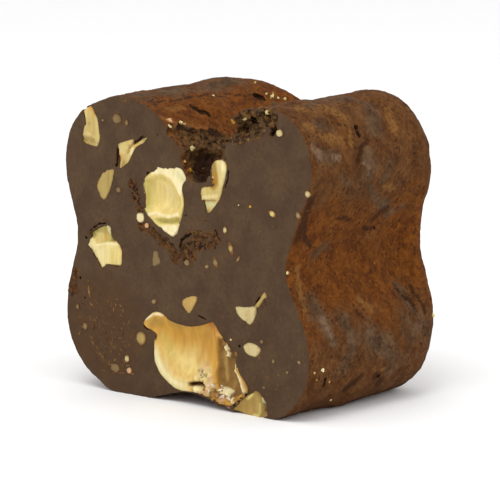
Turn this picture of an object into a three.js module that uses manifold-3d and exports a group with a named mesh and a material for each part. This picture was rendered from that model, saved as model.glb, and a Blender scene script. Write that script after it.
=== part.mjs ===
// Half of a chocolate truffle with hazelnut pieces: a four-lobed log of truffle paste, rolled in
// cocoa and cut straight across. Millimetres, +Z up. The cut face looks along -Y and the rolled end
// lies at +Y. The half rests on two narrow flats, one under each lower lobe.
import * as THREE from "three";
import { mergeVertices } from "three/addons/utils/BufferGeometryUtils.js";
import Module from "manifold-3d";

const wasm = await Module();
wasm.setup();

// ---- Driving dimensions of the log ----------------------------------------------------------

const LENGTH = 15.0; // from the cut face to the rim of the rolled end
const CROWN = 0.5; // how far the middle of the rolled end bulges past its rim
const RIM_ROUNDING = 2.05; // radius of the rim between the sides and the rolled end
const TAPER_LENGTH = 4.3; // stretch before the rolled end over which the lobes draw in
const FLAT_HEIGHT = 0.22; // paste pressed flat under the lower lobes
const MIDDLE = { x: 0, z: 10.3 }; // middle of the section, which every outline goes round
const LUMP_HEIGHT = 0.07; // unevenness of the rolled sides

// Each lobe is a roll of paste: in section, a circle of this radius drawn from one point to the
// next. Over the length of the log it drifts sideways and up, and in the taper it draws in.
const LOBES = {
  topLeft: { from: [-6.86, 16.46], to: [-5.65, 16.91], radius: 4.02, drift: [0, 0.38], drawIn: 1.1 },
  topRight: { from: [6.15, 15.81], to: [7.01, 17.09], radius: 4.0, drift: [0.23, 0.2], drawIn: 2.05 },
  lowRight: { from: [6.52, 4.36], to: [5.4, 4.69], radius: 4.33, drift: [0.49, 0], drawIn: 1.35 },
  lowLeft: { from: [-6.07, 5.37], to: [-5.24, 4.84], radius: 4.82, drift: [0, 0], drawIn: 1.1 },
};
// Width over which two rolls run together, which sets how shallow the groove between them is.
const GROOVE_BLEND = { top: 8.55, bottom: 7.65, sides: 8.34 };
const GROOVE_SOFTENING = 0.23; // share by which the grooves get shallower at the rolled end

// ---- Driving dimensions of the nut pieces ---------------------------------------------------

const NUT_GAP = 0.3; // room left between a nut piece and its pocket
const NUT_STEPS = 26; // points round a nut piece's outline

// Outline of each piece on the cut face, as [x, z] corners of a smooth closed curve, the depth that
// it reaches into the paste, and how deep its cut surface is dished.
const NUTS = {
  hazelnut_scooped: {
    outline: [
      [-3.7, 5.7], [-2.6, 6.25], [-1.0, 5.9], [0.6, 5.7], [2.5, 6.1], [3.4, 5.0], [4.3, 3.4], [5.2, 1.9],
      [4.5, 1.3], [2.5, 1.1], [0.2, 1.1], [-1.5, 1.6], [-2.7, 2.7], [-3.1, 4.6],
    ],
    depth: 4.2,
    dish: 1.1,
  },
  hazelnut_corner: {
    outline: [[6.1, 1.9], [7.2, 1.1], [7.1, 0.3], [6.2, -0.2], [5.3, 0.1], [5.4, 1.0]],
    depth: 2.4,
    dish: 0,
  },
  hazelnut_hollow: {
    outline: [
      [-3.1, 15.7], [-2.0, 16.3], [-0.3, 16.4], [0.1, 15.7], [-0.1, 14.1], [-0.5, 12.6], [-1.2, 11.7],
      [-2.8, 12.6], [-3.7, 13.5], [-3.6, 14.9],
    ],
    depth: 3.4,
    dish: 0.5,
  },
  hazelnut_notch: {
    outline: [[2.7, 17.0], [3.5, 17.2], [3.7, 16.2], [3.2, 14.7], [2.1, 13.5], [1.5, 14.5], [2.1, 15.8]],
    depth: 2.6,
    dish: 0,
  },
  hazelnut_left: {
    outline: [
      [-8.3, 11.4], [-7.1, 11.9], [-6.4, 11.0], [-5.8, 9.9], [-6.1, 8.9], [-7.7, 8.8], [-8.9, 10.1],
    ],
    depth: 2.8,
    dish: 0.3,
  },
  hazelnut_edge: {
    outline: [
      [-9.2, 19.6], [-8.5, 19.9], [-7.9, 19.1], [-7.7, 17.9], [-8.2, 17.2], [-9.3, 17.3], [-9.2, 18.5],
    ],
    depth: 2.2,
    dish: 0,
  },
  hazelnut_split: {
    outline: [[-5.8, 17.6], [-4.6, 18.0], [-3.7, 18.1], [-4.6, 17.0], [-5.6, 16.1], [-5.9, 16.8]],
    depth: 1.6,
    dish: 0,
  },
};

// ---- Driving dimensions of the broken top edge ----------------------------------------------

// Hollows torn out of the cut edge, each a rough ball: middle [x, y, z] and half sizes.
const TORN_HOLLOWS = [
  { at: [1.3, 1.0, 16.9], half: [1.3, 2.6, 1.35] },
  { at: [0.8, 0.7, 18.9], half: [2.2, 2.9, 1.9] },
  { at: [3.0, 0.1, 19.2], half: [1.5, 1.2, 1.5] },
  { at: [4.9, 0.1, 20.3], half: [1.6, 1.3, 1.2] },
  { at: [6.9, 0.0, 21.0], half: [1.6, 1.2, 0.9] },
  { at: [8.7, -0.2, 21.0], half: [1.3, 0.9, 0.7] },
];
const HOLLOW_ROUGHNESS = 0.12; // share of a hollow's size by which its wall is uneven

// ---- Mesh resolution ------------------------------------------------------------------------

const OUTLINE_STEPS = 96;
const SIDE_STEPS = 9; // rings along the straight sides
const TAPER_STEPS = 4;
const RIM_STEPS = 5;
const CROWN_STEPS = 5;

// ---- Section of the log ---------------------------------------------------------------------

// Distance from a point to a roll's skin, negative inside.
function rollDistance(x, z, roll) {
  const runX = roll.to[0] - roll.from[0];
  const runZ = roll.to[1] - roll.from[1];
  const along = ((x - roll.from[0]) * runX + (z - roll.from[1]) * runZ) / (runX ** 2 + runZ ** 2);
  const t = THREE.MathUtils.clamp(along, 0, 1);
  return Math.hypot(x - roll.from[0] - t * runX, z - roll.from[1] - t * runZ) - roll.radius;
}

// The smaller of two distances, run together smoothly over the given width.
function runTogether(a, b, width) {
  const h = THREE.MathUtils.clamp(0.5 + (0.5 * (b - a)) / width, 0, 1);
  return b * (1 - h) + a * h - width * h * (1 - h);
}

// Share of the taper that is reached at this depth: 0 along the straight sides, 1 at the end.
function taperAt(y) {
  return Math.max(0, (y - (LENGTH - TAPER_LENGTH)) / TAPER_LENGTH) ** 2;
}

// A lobe where it lies at this depth: drifted along the log, and drawn in to the middle in the taper.
function lobeAt(lobe, y) {
  const moved = ([x, z]) => {
    const driftedX = x + (lobe.drift[0] * y) / LENGTH;
    const driftedZ = z + (lobe.drift[1] * y) / LENGTH;
    const inwards = new THREE.Vector2(MIDDLE.x - driftedX, MIDDLE.z - driftedZ);
    inwards.setLength(lobe.drawIn * taperAt(y));
    return [driftedX + inwards.x, driftedZ + inwards.y];
  };
  return { from: moved(lobe.from), to: moved(lobe.to), radius: lobe.radius };
}

function sectionDistance(x, z, rolls, softening) {
  const top = runTogether(
    rollDistance(x, z, rolls.topLeft),
    rollDistance(x, z, rolls.topRight),
    GROOVE_BLEND.top * softening,
  );
  const bottom = runTogether(
    rollDistance(x, z, rolls.lowRight),
    rollDistance(x, z, rolls.lowLeft),
    GROOVE_BLEND.bottom * softening,
  );
  return runTogether(top, bottom, GROOVE_BLEND.sides * softening);
}

// Gentle unevenness of a hand-rolled side, fading out at the cut face.
function lumpAt(angle, y) {
  const fade = THREE.MathUtils.smoothstep(y, 0, 3);
  const broad = Math.sin(5 * angle + 0.9 * y);
  const fine = 0.7 * Math.sin(9 * angle - 0.7 * y + 1.3);
  const along = 0.6 * Math.sin(1.6 * y + 2 * angle);
  return LUMP_HEIGHT * fade * (broad + fine + along);
}

// One ring of points round the log at depth y, set in from the skin by inset.
function sectionRing(y, inset) {
  const rolls = {};
  for (const [name, lobe] of Object.entries(LOBES)) rolls[name] = lobeAt(lobe, y);
  const softening = 1 + GROOVE_SOFTENING * taperAt(y);
  const ring = [];
  for (let i = 0; i < OUTLINE_STEPS; i++) {
    const angle = (2 * Math.PI * i) / OUTLINE_STEPS;
    let inside = 0;
    let outside = 20;
    for (let halving = 0; halving < 32; halving++) {
      const reach = (inside + outside) / 2;
      const x = MIDDLE.x + reach * Math.cos(angle);
      const z = MIDDLE.z + reach * Math.sin(angle);
      if (sectionDistance(x, z, rolls, softening) + inset < 0) inside = reach;
      else outside = reach;
    }
    const reach = inside + lumpAt(angle, y);
    const x = MIDDLE.x + reach * Math.cos(angle);
    const z = MIDDLE.z + reach * Math.sin(angle);
    ring.push(new THREE.Vector3(x, y, Math.max(z, FLAT_HEIGHT)));
  }
  return ring;
}

// ---- Solids ---------------------------------------------------------------------------------

// Closed skin over a row of rings, each a turn anticlockwise as seen from -Y, capped at both ends.
function skinOver(rings, firstPoint, lastPoint) {
  const count = rings[0].length;
  const points = [...rings.flat(), firstPoint, lastPoint];
  const first = points.length - 2;
  const last = points.length - 1;
  const faces = [];
  for (let i = 0; i < count; i++) {
    const next = (i + 1) % count;
    for (let r = 0; r + 1 < rings.length; r++) {
      const near = r * count;
      const far = near + count;
      faces.push(near + i, far + i, near + next, near + next, far + i, far + next);
    }
    const end = (rings.length - 1) * count;
    faces.push(first, i, next, last, end + next, end + i);
  }
  const geometry = new THREE.BufferGeometry().setFromPoints(points);
  geometry.setIndex(faces);
  return geometry;
}

function toSolid(geometry) {
  const bare = new THREE.BufferGeometry();
  bare.setAttribute("position", geometry.getAttribute("position").clone());
  if (geometry.index) bare.setIndex(geometry.index.clone());
  const merged = mergeVertices(bare, 1e-4);
  return new wasm.Manifold(
    new wasm.Mesh({
      numProp: 3,
      vertProperties: new Float32Array(merged.getAttribute("position").array),
      triVerts: new Uint32Array(merged.index.array),
    }),
  );
}

function toGeometry(solid) {
  const mesh = solid.getMesh();
  const geometry = new THREE.BufferGeometry();
  geometry.setAttribute("position", new THREE.BufferAttribute(mesh.vertProperties, 3));
  geometry.setIndex(new THREE.BufferAttribute(mesh.triVerts, 1));
  geometry.computeVertexNormals();
  return geometry;
}

// The whole log, before anything is cut out of it.
function logSolid() {
  const rings = [];
  const straight = LENGTH - TAPER_LENGTH;
  for (let i = 0; i <= SIDE_STEPS; i++) rings.push(sectionRing((straight * i) / SIDE_STEPS, 0));
  const taper = TAPER_LENGTH - RIM_ROUNDING;
  for (let i = 1; i <= TAPER_STEPS; i++) rings.push(sectionRing(straight + (taper * i) / TAPER_STEPS, 0));
  for (let i = 1; i <= RIM_STEPS; i++) {
    const turn = (Math.PI / 2) * (i / RIM_STEPS);
    const y = LENGTH - RIM_ROUNDING * (1 - Math.sin(turn));
    rings.push(sectionRing(y, RIM_ROUNDING * (1 - Math.cos(turn))));
  }
  const rim = rings[rings.length - 1];
  const middle = new THREE.Vector3(MIDDLE.x, LENGTH, MIDDLE.z);
  for (let i = 1; i < CROWN_STEPS; i++) {
    const share = 1 - i / CROWN_STEPS;
    rings.push(
      rim.map((point) => {
        const moved = middle.clone().lerp(point, share);
        moved.y += CROWN * (1 - share ** 2);
        return moved;
      }),
    );
  }
  const crown = middle.clone().setY(LENGTH + CROWN);
  return toSolid(skinOver(rings, middle.clone().setY(0), crown));
}

// Points round a nut piece's outline, moved outwards by grow.
function nutOutline(corners, grow) {
  const knots = corners.map(([x, z]) => new THREE.Vector3(x, 0, z));
  const curve = new THREE.CatmullRomCurve3(knots, true, "centripetal");
  const points = curve.getSpacedPoints(NUT_STEPS).slice(0, NUT_STEPS);
  const seenFromFront = points.map((point) => new THREE.Vector2(point.x, point.z));
  if (THREE.ShapeUtils.isClockWise(seenFromFront)) points.reverse();
  return points.map((point, i) => {
    const before = points[(i + NUT_STEPS - 1) % NUT_STEPS];
    const after = points[(i + 1) % NUT_STEPS];
    const outwards = new THREE.Vector3(after.z - before.z, 0, before.x - after.x).setLength(grow);
    return point.clone().add(outwards);
  });
}

// A nut piece that narrows as it goes into the paste. Its cut surface starts at depth front, and it
// is dished in the middle.
function nutSolid({ outline, depth, dish }, grow, front) {
  const rim = nutOutline(outline, grow);
  const middle = rim.reduce((sum, point) => sum.add(point), new THREE.Vector3()).divideScalar(rim.length);
  const ringAt = (share, y) => rim.map((point) => middle.clone().lerp(point, share).setY(y));
  const rings = [];
  if (dish > 0) rings.push(ringAt(0.45, front + 0.85 * dish), ringAt(0.8, front + 0.4 * dish));
  rings.push(ringAt(1, front));
  for (const turn of [0.35, 0.65, 0.9]) {
    const y = (depth + grow) * Math.sin((turn * Math.PI) / 2);
    rings.push(ringAt(0.2 + 0.8 * Math.cos((turn * Math.PI) / 2), y));
  }
  return toSolid(skinOver(rings, middle.clone().setY(front + dish), middle.clone().setY(depth + grow)));
}

// A rough ball, for a hollow torn out of the paste.
function roughBall({ at, half }, index) {
  const ball = mergeVertices(stripped(new THREE.IcosahedronGeometry(1, 3)), 1e-4);
  const position = ball.getAttribute("position");
  const point = new THREE.Vector3();
  for (let i = 0; i < position.count; i++) {
    point.fromBufferAttribute(position, i);
    const across = Math.sin(6 * point.x + 2 * index) * Math.sin(5 * point.y + index);
    const upwards = Math.sin(7 * point.z - 3 * index);
    point.multiplyScalar(1 + HOLLOW_ROUGHNESS * (across + upwards));
    position.setXYZ(i, at[0] + half[0] * point.x, at[1] + half[1] * point.y, at[2] + half[2] * point.z);
  }
  return toSolid(ball);
}

// A geometry's positions only, so that vertices shared by its faces can be merged.
function stripped(geometry) {
  geometry.deleteAttribute("normal");
  geometry.deleteAttribute("uv");
  return geometry;
}

// ---- The truffle half -----------------------------------------------------------------------

const CHOCOLATE = { color: 0x5a4532, roughness: 0.75, metalness: 0 };
const HAZELNUT = { color: 0xd8b268, roughness: 0.55, metalness: 0 };

const log = logSolid();
let chocolate = log;
TORN_HOLLOWS.forEach((hollow, index) => {
  chocolate = chocolate.subtract(roughBall(hollow, index));
});
for (const nut of Object.values(NUTS)) {
  chocolate = chocolate.subtract(nutSolid({ ...nut, dish: 0 }, NUT_GAP, -1));
}

function pieceMesh(name, solid, finish) {
  const mesh = new THREE.Mesh(toGeometry(solid), new THREE.MeshStandardMaterial(finish));
  mesh.name = name;
  return mesh;
}

const truffle = new THREE.Group();
truffle.name = "truffle_half";
truffle.add(pieceMesh("chocolate_body", chocolate, CHOCOLATE));
for (const [name, nut] of Object.entries(NUTS)) {
  truffle.add(pieceMesh(name, log.intersect(nutSolid(nut, 0, 0)), HAZELNUT));
}

// The origin is at the middle of the footprint, on the surface that the half rests on.
const extent = new THREE.Box3().setFromObject(truffle);
const centre = extent.getCenter(new THREE.Vector3());
truffle.position.set(-centre.x, -centre.y, -extent.min.z);

export default truffle;
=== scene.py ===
"""Looks of half a chocolate truffle with hazelnut pieces.

The half is a four-lobed log of truffle paste, rolled in cocoa and cut straight across. It is modelled
in millimetres with the cut face in the plane y = 0 and the paste behind it, and each finished piece is
then brought into the frame.
"""

import math

import bpy
import numpy as np
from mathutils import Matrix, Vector


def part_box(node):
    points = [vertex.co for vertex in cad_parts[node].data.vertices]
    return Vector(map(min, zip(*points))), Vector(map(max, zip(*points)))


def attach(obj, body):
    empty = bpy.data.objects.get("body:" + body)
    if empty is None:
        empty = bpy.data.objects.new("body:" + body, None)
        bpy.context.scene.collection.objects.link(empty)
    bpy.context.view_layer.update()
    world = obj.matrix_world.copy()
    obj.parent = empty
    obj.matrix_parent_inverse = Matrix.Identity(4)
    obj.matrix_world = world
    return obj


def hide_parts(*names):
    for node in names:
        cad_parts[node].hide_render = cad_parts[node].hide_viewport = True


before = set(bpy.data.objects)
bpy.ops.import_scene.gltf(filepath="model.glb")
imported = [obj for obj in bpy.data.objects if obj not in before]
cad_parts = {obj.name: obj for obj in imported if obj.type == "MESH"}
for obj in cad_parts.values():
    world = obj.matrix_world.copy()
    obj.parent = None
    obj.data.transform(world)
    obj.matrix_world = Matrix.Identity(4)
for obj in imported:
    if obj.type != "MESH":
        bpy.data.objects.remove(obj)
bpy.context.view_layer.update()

# ---- The log, as the CAD model has it, in millimetres -------------------------------------------

LENGTH = 15.0  # from the cut face to the rim of the rolled end
CROWN = 0.5  # how far the middle of the rolled end bulges past its rim
RIM_ROUNDING = 2.05
TAPER_LENGTH = 4.3  # stretch before the rolled end over which the lobes draw in
FLAT_HEIGHT = 0.22  # paste pressed flat under the lower lobes
MIDDLE = (0.0, 10.3)  # x and z of the middle of the section
LUMP_HEIGHT = 0.07
# Waves of the rolled surface: share of the lump height, waves round the log, turn for each millimetre
# along it, and the turn they start with.
WAVES = [(1.0, 5, 0.9, 0.0), (0.7, 9, -0.7, 1.3), (0.6, 2, 1.6, 0.0)]
WAVES_FULL = 3.0  # the cut has none, and this far behind it they are full
# Each lobe is rolled round a line from one x and z to another, which drifts aside over the length and
# draws in towards the middle at the rolled end.
LOBES = {
    "top_left": {
        "from": (-6.86, 16.46),
        "to": (-5.65, 16.91),
        "radius": 4.02,
        "drift": (0, 0.38),
        "draw_in": 1.1,
    },
    "top_right": {
        "from": (6.15, 15.81),
        "to": (7.01, 17.09),
        "radius": 4.0,
        "drift": (0.23, 0.2),
        "draw_in": 2.05,
    },
    "low_right": {
        "from": (6.52, 4.36),
        "to": (5.4, 4.69),
        "radius": 4.33,
        "drift": (0.49, 0),
        "draw_in": 1.35,
    },
    "low_left": {
        "from": (-6.07, 5.37),
        "to": (-5.24, 4.84),
        "radius": 4.82,
        "drift": (0, 0),
        "draw_in": 1.1,
    },
}
GROOVE_BLEND = {"top": 8.55, "bottom": 7.65, "sides": 8.34}  # how widely neighbouring lobes run together
GROOVE_SOFTENING = 0.23  # share by which that widens at the rolled end
BEYOND_THE_SKIN = 20.0  # no part of the skin is this far from the middle
HALVINGS = 26  # steps that find the skin between the middle and there

LOG_STEPS = 360  # points round the log
SIDE_STEP = 0.19  # from one ring of points to the next
RIM_RINGS = 18
END_RINGS = 28
LOG_FRONT = -0.6  # the log starts this far in front of the cut, which the knife takes off
FACE_CELL = 0.13  # side of a cell on the cut face

# ---- Camera, lights and floor ------------------------------------------------------------------

CAMERA_TARGET = (5.765, 0.0, 11.48)
CAMERA_ANGLES = (40.0, 9.4)  # azimuth and elevation
CAMERA_DISTANCE = 219.1  # millimetres, as the lens and the sensor
CAMERA_LENS = 237.3
CAMERA_SENSOR = 36
NEAREST_SEEN = 0.01  # metres
# Azimuth and elevation, distance and size in metres, and power.
LIGHTS = {
    "key": ((15, 62), 0.32, 0.18, 0.4),
    "side": ((95, 35), 0.35, 0.2, 0.15),
}
SKY = (1, 1, 1, 1)
SKY_STRENGTH = 1.0
FLOOR_SIZE = 4  # metres
FLOOR_COLOUR = (0.9, 0.9, 0.9, 1)
FLOOR_ROUGHNESS = 0.9

# ---- Small tools -------------------------------------------------------------------------------

CRUST, CUT, TORN = range(3)  # numbers of the body's finishes
MM_PER_M = 1000
LEAST_WEIGHT = 0.004  # points with less than this stay out of a vertex group
NEXT_TO_NOTHING = 1e-9  # stands in for 0 where something is divided by it


def deselect_all():
    bpy.ops.object.select_all(action="DESELECT")


def make_active(piece):
    deselect_all()
    piece.select_set(True)
    bpy.context.view_layer.objects.active = piece


def newest(name):
    piece = bpy.context.active_object
    piece.name = name
    piece.data.name = name
    return piece


def settle(piece):
    """Puts the object's turn, size and place into its mesh."""
    make_active(piece)
    bpy.ops.object.transform_apply(location=True, rotation=True, scale=True)


def modify(piece, kind, **settings):
    make_active(piece)
    modifier = piece.modifiers.new(kind.title(), kind)
    for name, value in settings.items():
        setattr(modifier, name, value)
    bpy.ops.object.modifier_apply(modifier=modifier.name)


def joined(pieces, name):
    make_active(pieces[0])
    for piece in pieces[1:]:
        piece.select_set(True)
    if len(pieces) > 1:
        bpy.ops.object.join()
    settle(pieces[0])
    return newest(name)


def remove(piece):
    bpy.data.objects.remove(piece)


def cut(piece, tool, operation="DIFFERENCE", keep_tool=False):
    modify(piece, "BOOLEAN", object=tool, operation=operation, solver="MANIFOLD")
    if not keep_tool:
        remove(tool)


def points_of(piece):
    points = np.empty(len(piece.data.vertices) * 3)
    piece.data.vertices.foreach_get("co", points)
    return points.reshape(-1, 3)


def place_points(piece, points):
    piece.data.vertices.foreach_set("co", np.asarray(points, float).ravel())
    piece.data.update()


def weigh(piece, name, weights):
    """A vertex group of these weights, for the modifiers."""
    group = piece.vertex_groups.new(name=name)
    for index in np.flatnonzero(weights > LEAST_WEIGHT):
        group.add([int(index)], float(weights[index]), "REPLACE")
    return name


def mark(piece, name, values):
    """A number at each point, or the same at all of them, for the finishes."""
    layer = piece.data.attributes.get(name) or piece.data.attributes.new(name, "FLOAT", "POINT")
    values = np.zeros(len(piece.data.vertices)) + values
    layer.data.foreach_set("value", values.astype(np.float32))


def marks_of(piece, name):
    """The numbers marked at each point, or 0 where there are none."""
    marks = np.zeros(len(piece.data.vertices), np.float32)
    layer = piece.data.attributes.get(name)
    if layer:
        layer.data.foreach_get("value", marks)
    return marks


def smoothstep(values, low, high):
    share = np.clip((values - low) / (high - low), 0, 1)
    return share * share * (3 - 2 * share)


def segment_distance(points, start, end):
    start = np.asarray(start, float)
    along = np.asarray(end, float) - start
    share = np.clip((points - start) @ along / max(along @ along, NEXT_TO_NOTHING), 0, 1)
    return np.linalg.norm(points - start - share[:, None] * along, axis=1)


def path_distance(points, path):
    if len(path) == 1:
        return np.linalg.norm(points - np.asarray(path[0], float), axis=1)
    return np.min([segment_distance(points, a, b) for a, b in zip(path, path[1:])], axis=0)


def spots_on(path, spacing):
    """Evenly spaced spots along a path."""
    spots = [np.asarray(path[0], float)]
    for start, end in zip(path, path[1:]):
        start, end = np.asarray(start, float), np.asarray(end, float)
        count = max(1, round(float(np.linalg.norm(end - start)) / spacing))
        spots += [start + (end - start) * (i + 1) / count for i in range(count)]
    return spots


def roughen(piece, grains, group="", direction="NORMAL"):
    """Makes the surface uneven, with lumps of each of these sizes and heights."""
    for size, height in grains:
        lumps = bpy.data.textures.new(f"lumps_{size}", "CLOUDS")
        lumps.noise_scale = size
        lumps.noise_depth = 2
        modify(
            piece,
            "DISPLACE",
            texture=lumps,
            texture_coords="LOCAL",
            strength=height,
            mid_level=0.5,
            vertex_group=group,
            direction=direction,
        )


def ball(middle, half_sizes, subdivisions=4):
    bpy.ops.mesh.primitive_ico_sphere_add(subdivisions=subdivisions, radius=1, location=middle)
    piece = bpy.context.active_object
    piece.scale = half_sizes
    settle(piece)
    return piece


def rough_solid(name, balls, voxel, grains):
    """The balls run together into one uneven solid, for cutting what is missing from the paste."""
    solid = joined(balls, name)
    modify(solid, "REMESH", mode="VOXEL", voxel_size=voxel)
    roughen(solid, grains)
    return solid


def give_finishes(piece, finishes, number=0):
    """The finishes that the piece can have, and the number of the one that it has all over."""
    piece.data.materials.clear()
    for finish in finishes:
        piece.data.materials.append(finish)
    piece.data.polygons.foreach_set("material_index", [number] * len(piece.data.polygons))


def linear(red, green, blue):
    """A colour given as 0 to 255 on screen, as the shaders take it."""
    shares = [value / 255 for value in (red, green, blue)]
    return tuple(s / 12.92 if s <= 0.04045 else ((s + 0.055) / 1.055) ** 2.4 for s in shares)


# ---- Shape of the log --------------------------------------------------------------------------


def taper_at(y):
    """0 along the log, rising to 1 at the rim of the rolled end."""
    return np.clip((y - (LENGTH - TAPER_LENGTH)) / TAPER_LENGTH, 0, None) ** 2


def roll_distance(x, z, y, lobe):
    """Distance to a lobe's skin at depth y, negative inside."""
    ends = []
    for end_x, end_z in (lobe["from"], lobe["to"]):
        end_x = end_x + lobe["drift"][0] * y / LENGTH
        end_z = end_z + lobe["drift"][1] * y / LENGTH
        to_x, to_z = MIDDLE[0] - end_x, MIDDLE[1] - end_z
        pull = lobe["draw_in"] * taper_at(y) / np.hypot(to_x, to_z)
        ends.append((end_x + to_x * pull, end_z + to_z * pull))
    (from_x, from_z), (to_x, to_z) = ends
    run_x, run_z = to_x - from_x, to_z - from_z
    share = np.clip(((x - from_x) * run_x + (z - from_z) * run_z) / (run_x**2 + run_z**2), 0, 1)
    return np.hypot(x - from_x - share * run_x, z - from_z - share * run_z) - lobe["radius"]


def run_together(a, b, width):
    """The nearer of two distances, with a soft change from one to the other."""
    share = np.clip(0.5 + 0.5 * (b - a) / width, 0, 1)
    return b * (1 - share) + a * share - width * share * (1 - share)


def section_distance(x, z, y):
    """Distance to the skin of the log at depth y, negative inside."""
    softening = 1 + GROOVE_SOFTENING * taper_at(y)
    rolls = {name: roll_distance(x, z, y, lobe) for name, lobe in LOBES.items()}
    top = run_together(rolls["top_left"], rolls["top_right"], GROOVE_BLEND["top"] * softening)
    bottom = run_together(rolls["low_right"], rolls["low_left"], GROOVE_BLEND["bottom"] * softening)
    return run_together(top, bottom, GROOVE_BLEND["sides"] * softening)


def reach_at(angle, y, inset):
    """How far the skin is from the middle of the section at this angle and depth."""
    inside = np.zeros_like(angle)
    outside = np.full_like(angle, BEYOND_THE_SKIN)
    for _ in range(HALVINGS):
        reach = (inside + outside) / 2
        distance = section_distance(MIDDLE[0] + reach * np.cos(angle), MIDDLE[1] + reach * np.sin(angle), y)
        within = distance + inset < 0
        inside = np.where(within, reach, inside)
        outside = np.where(within, outside, reach)
    waves = 0
    for share, around, along, start in WAVES:
        waves = waves + share * np.sin(around * angle + along * y + start)
    return inside + LUMP_HEIGHT * smoothstep(y, 0, WAVES_FULL) * waves


def log_rows():
    """Depth, inset from the skin and share of the reach, for each ring of points from front to back."""
    sides = np.arange(LOG_FRONT, LENGTH - RIM_ROUNDING, SIDE_STEP)
    turns = np.linspace(0, math.pi / 2, RIM_RINGS)
    shares = np.linspace(1, 0, END_RINGS)[1:]
    depth = np.concatenate(
        [[LOG_FRONT], sides, LENGTH - RIM_ROUNDING * (1 - np.sin(turns)), LENGTH + CROWN * (1 - shares**2)]
    )
    inset = np.concatenate(
        [[0], 0 * sides, RIM_ROUNDING * (1 - np.cos(turns)), np.full(len(shares), RIM_ROUNDING)]
    )
    share = np.concatenate([[0], np.ones(len(sides) + len(turns)), shares])
    return depth, inset, share


def rolled_log(name, set_in=0.0):
    """The whole log before it is cut: a ball drawn out along Y, each of its rings set to the section."""
    depth, inset, share = log_rows()
    bpy.ops.mesh.primitive_uv_sphere_add(
        segments=LOG_STEPS, ring_count=len(depth) - 1, radius=1, rotation=(math.pi / 2, 0, 0)
    )
    log = newest(name)
    settle(log)
    sphere = points_of(log)
    row = np.rint(np.arccos(np.clip(-sphere[:, 1], -1, 1)) / math.pi * (len(depth) - 1)).astype(int)
    angle = np.arctan2(sphere[:, 2], sphere[:, 0])
    y = depth[row]
    reach = (reach_at(angle, np.minimum(y, LENGTH), inset[row]) - set_in) * share[row]
    x = MIDDLE[0] + reach * np.cos(angle)
    z = MIDDLE[1] + reach * np.sin(angle)
    place_points(log, np.column_stack([x, y, np.maximum(z, FLAT_HEIGHT)]))
    return log


# ---- Crust -------------------------------------------------------------------------------------

# Grey-brown where the cocoa is rubbed off, and partly painted sheen: a path over the skin and its half
# width.
RUBBED_AND_SHEEN = [
    ([(7.3, 6.8, 21.2), (8.2, 7.9, 21.0), (9.0, 8.3, 20.7), (9.7, 8.0, 20.2), (10.4, 7.6, 19.5)], 0.9),
    ([(8.2, 3.0, 21.0), (7.6, 4.4, 21.2)], 0.54),
    ([(10.2, 3.1, 19.6), (9.8, 2.1, 20.0)], 0.6),
    ([(11.0, 5.8, 18.0), (11.1, 6.2, 17.0), (11.0, 6.0, 16.2)], 0.78),
    ([(10.9, 0.9, 18.3), (11.0, 2.6, 17.9)], 0.54),
    ([(11.0, 3.4, 16.4), (10.9, 4.6, 15.8)], 0.6),
    ([(10.8, 6.2, 15.7), (10.2, 8.0, 14.4), (9.9, 9.6, 13.8)], 0.48),
    ([(11.1, 8.2, 16.9), (10.8, 7.6, 15.6)], 0.42),
    ([(9.9, 11.5, 13.5), (9.8, 9.7, 13.1)], 0.36),
    ([(8.9, 2.8, 11.3), (9.1, 4.2, 11.3)], 0.48),
    ([(9.6, 1.6, 8.4), (10.1, 1.9, 7.5), (10.5, 2.3, 6.4), (10.8, 2.6, 5.4)], 0.75),
    ([(10.5, 3.9, 6.6), (10.9, 4.4, 5.2), (10.9, 3.6, 3.6)], 0.72),
    ([(11.0, 6.4, 5.3), (11.1, 7.4, 4.7), (11.1, 8.2, 3.9)], 1.08),
    ([(10.9, 9.0, 3.0)], 1.1),
    ([(10.0, 10.6, 8.1), (10.6, 11.2, 6.8), (11.0, 11.8, 5.8)], 0.42),
    ([(11.0, 10.4, 5.8), (11.2, 12.4, 5.2)], 0.96),
    ([(-4.8, 1.5, 21.0), (-4.6, 6.0, 21.0), (-4.9, 10.5, 21.1)], 0.96),
    ([(-10.6, 3.2, 13.6), (-10.9, 5.0, 15.4), (-10.7, 6.4, 17.2)], 1.0),
    ([(-10.9, 2.0, 4.4), (-11.0, 5.2, 6.8), (-10.8, 8.8, 5.6)], 1.1),
    ([(-6.2, 15.0, 16.4), (-4.4, 15.3, 14.6), (-3.2, 15.4, 11.9), (-4.0, 15.4, 10.4)], 1.0),
    ([(2.6, 15.3, 7.4), (4.8, 15.1, 5.6), (6.8, 14.8, 5.9)], 1.1),
    ([(5.0, 15.0, 16.0), (3.0, 15.4, 13.6), (3.4, 15.4, 12.0)], 0.9),
    ([(-6.5, 10.0, 20.9), (-8.5, 12.0, 19.5)], 1.32),
    ([(5.5, 11.5, 20.6), (7.5, 12.8, 20.3)], 0.96),
]
# Pale smears of paste.
SMEARED = [
    ([(10.7, 0.5, 18.7), (10.9, 1.2, 18.1)], 0.35),
    ([(11.0, 2.4, 18.0), (11.0, 3.0, 17.6)], 0.25),
    ([(11.0, 5.4, 17.2), (11.0, 5.9, 16.8)], 0.2),
    ([(10.4, 2.0, 6.9), (10.7, 2.4, 6.0)], 0.3),
]
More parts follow.
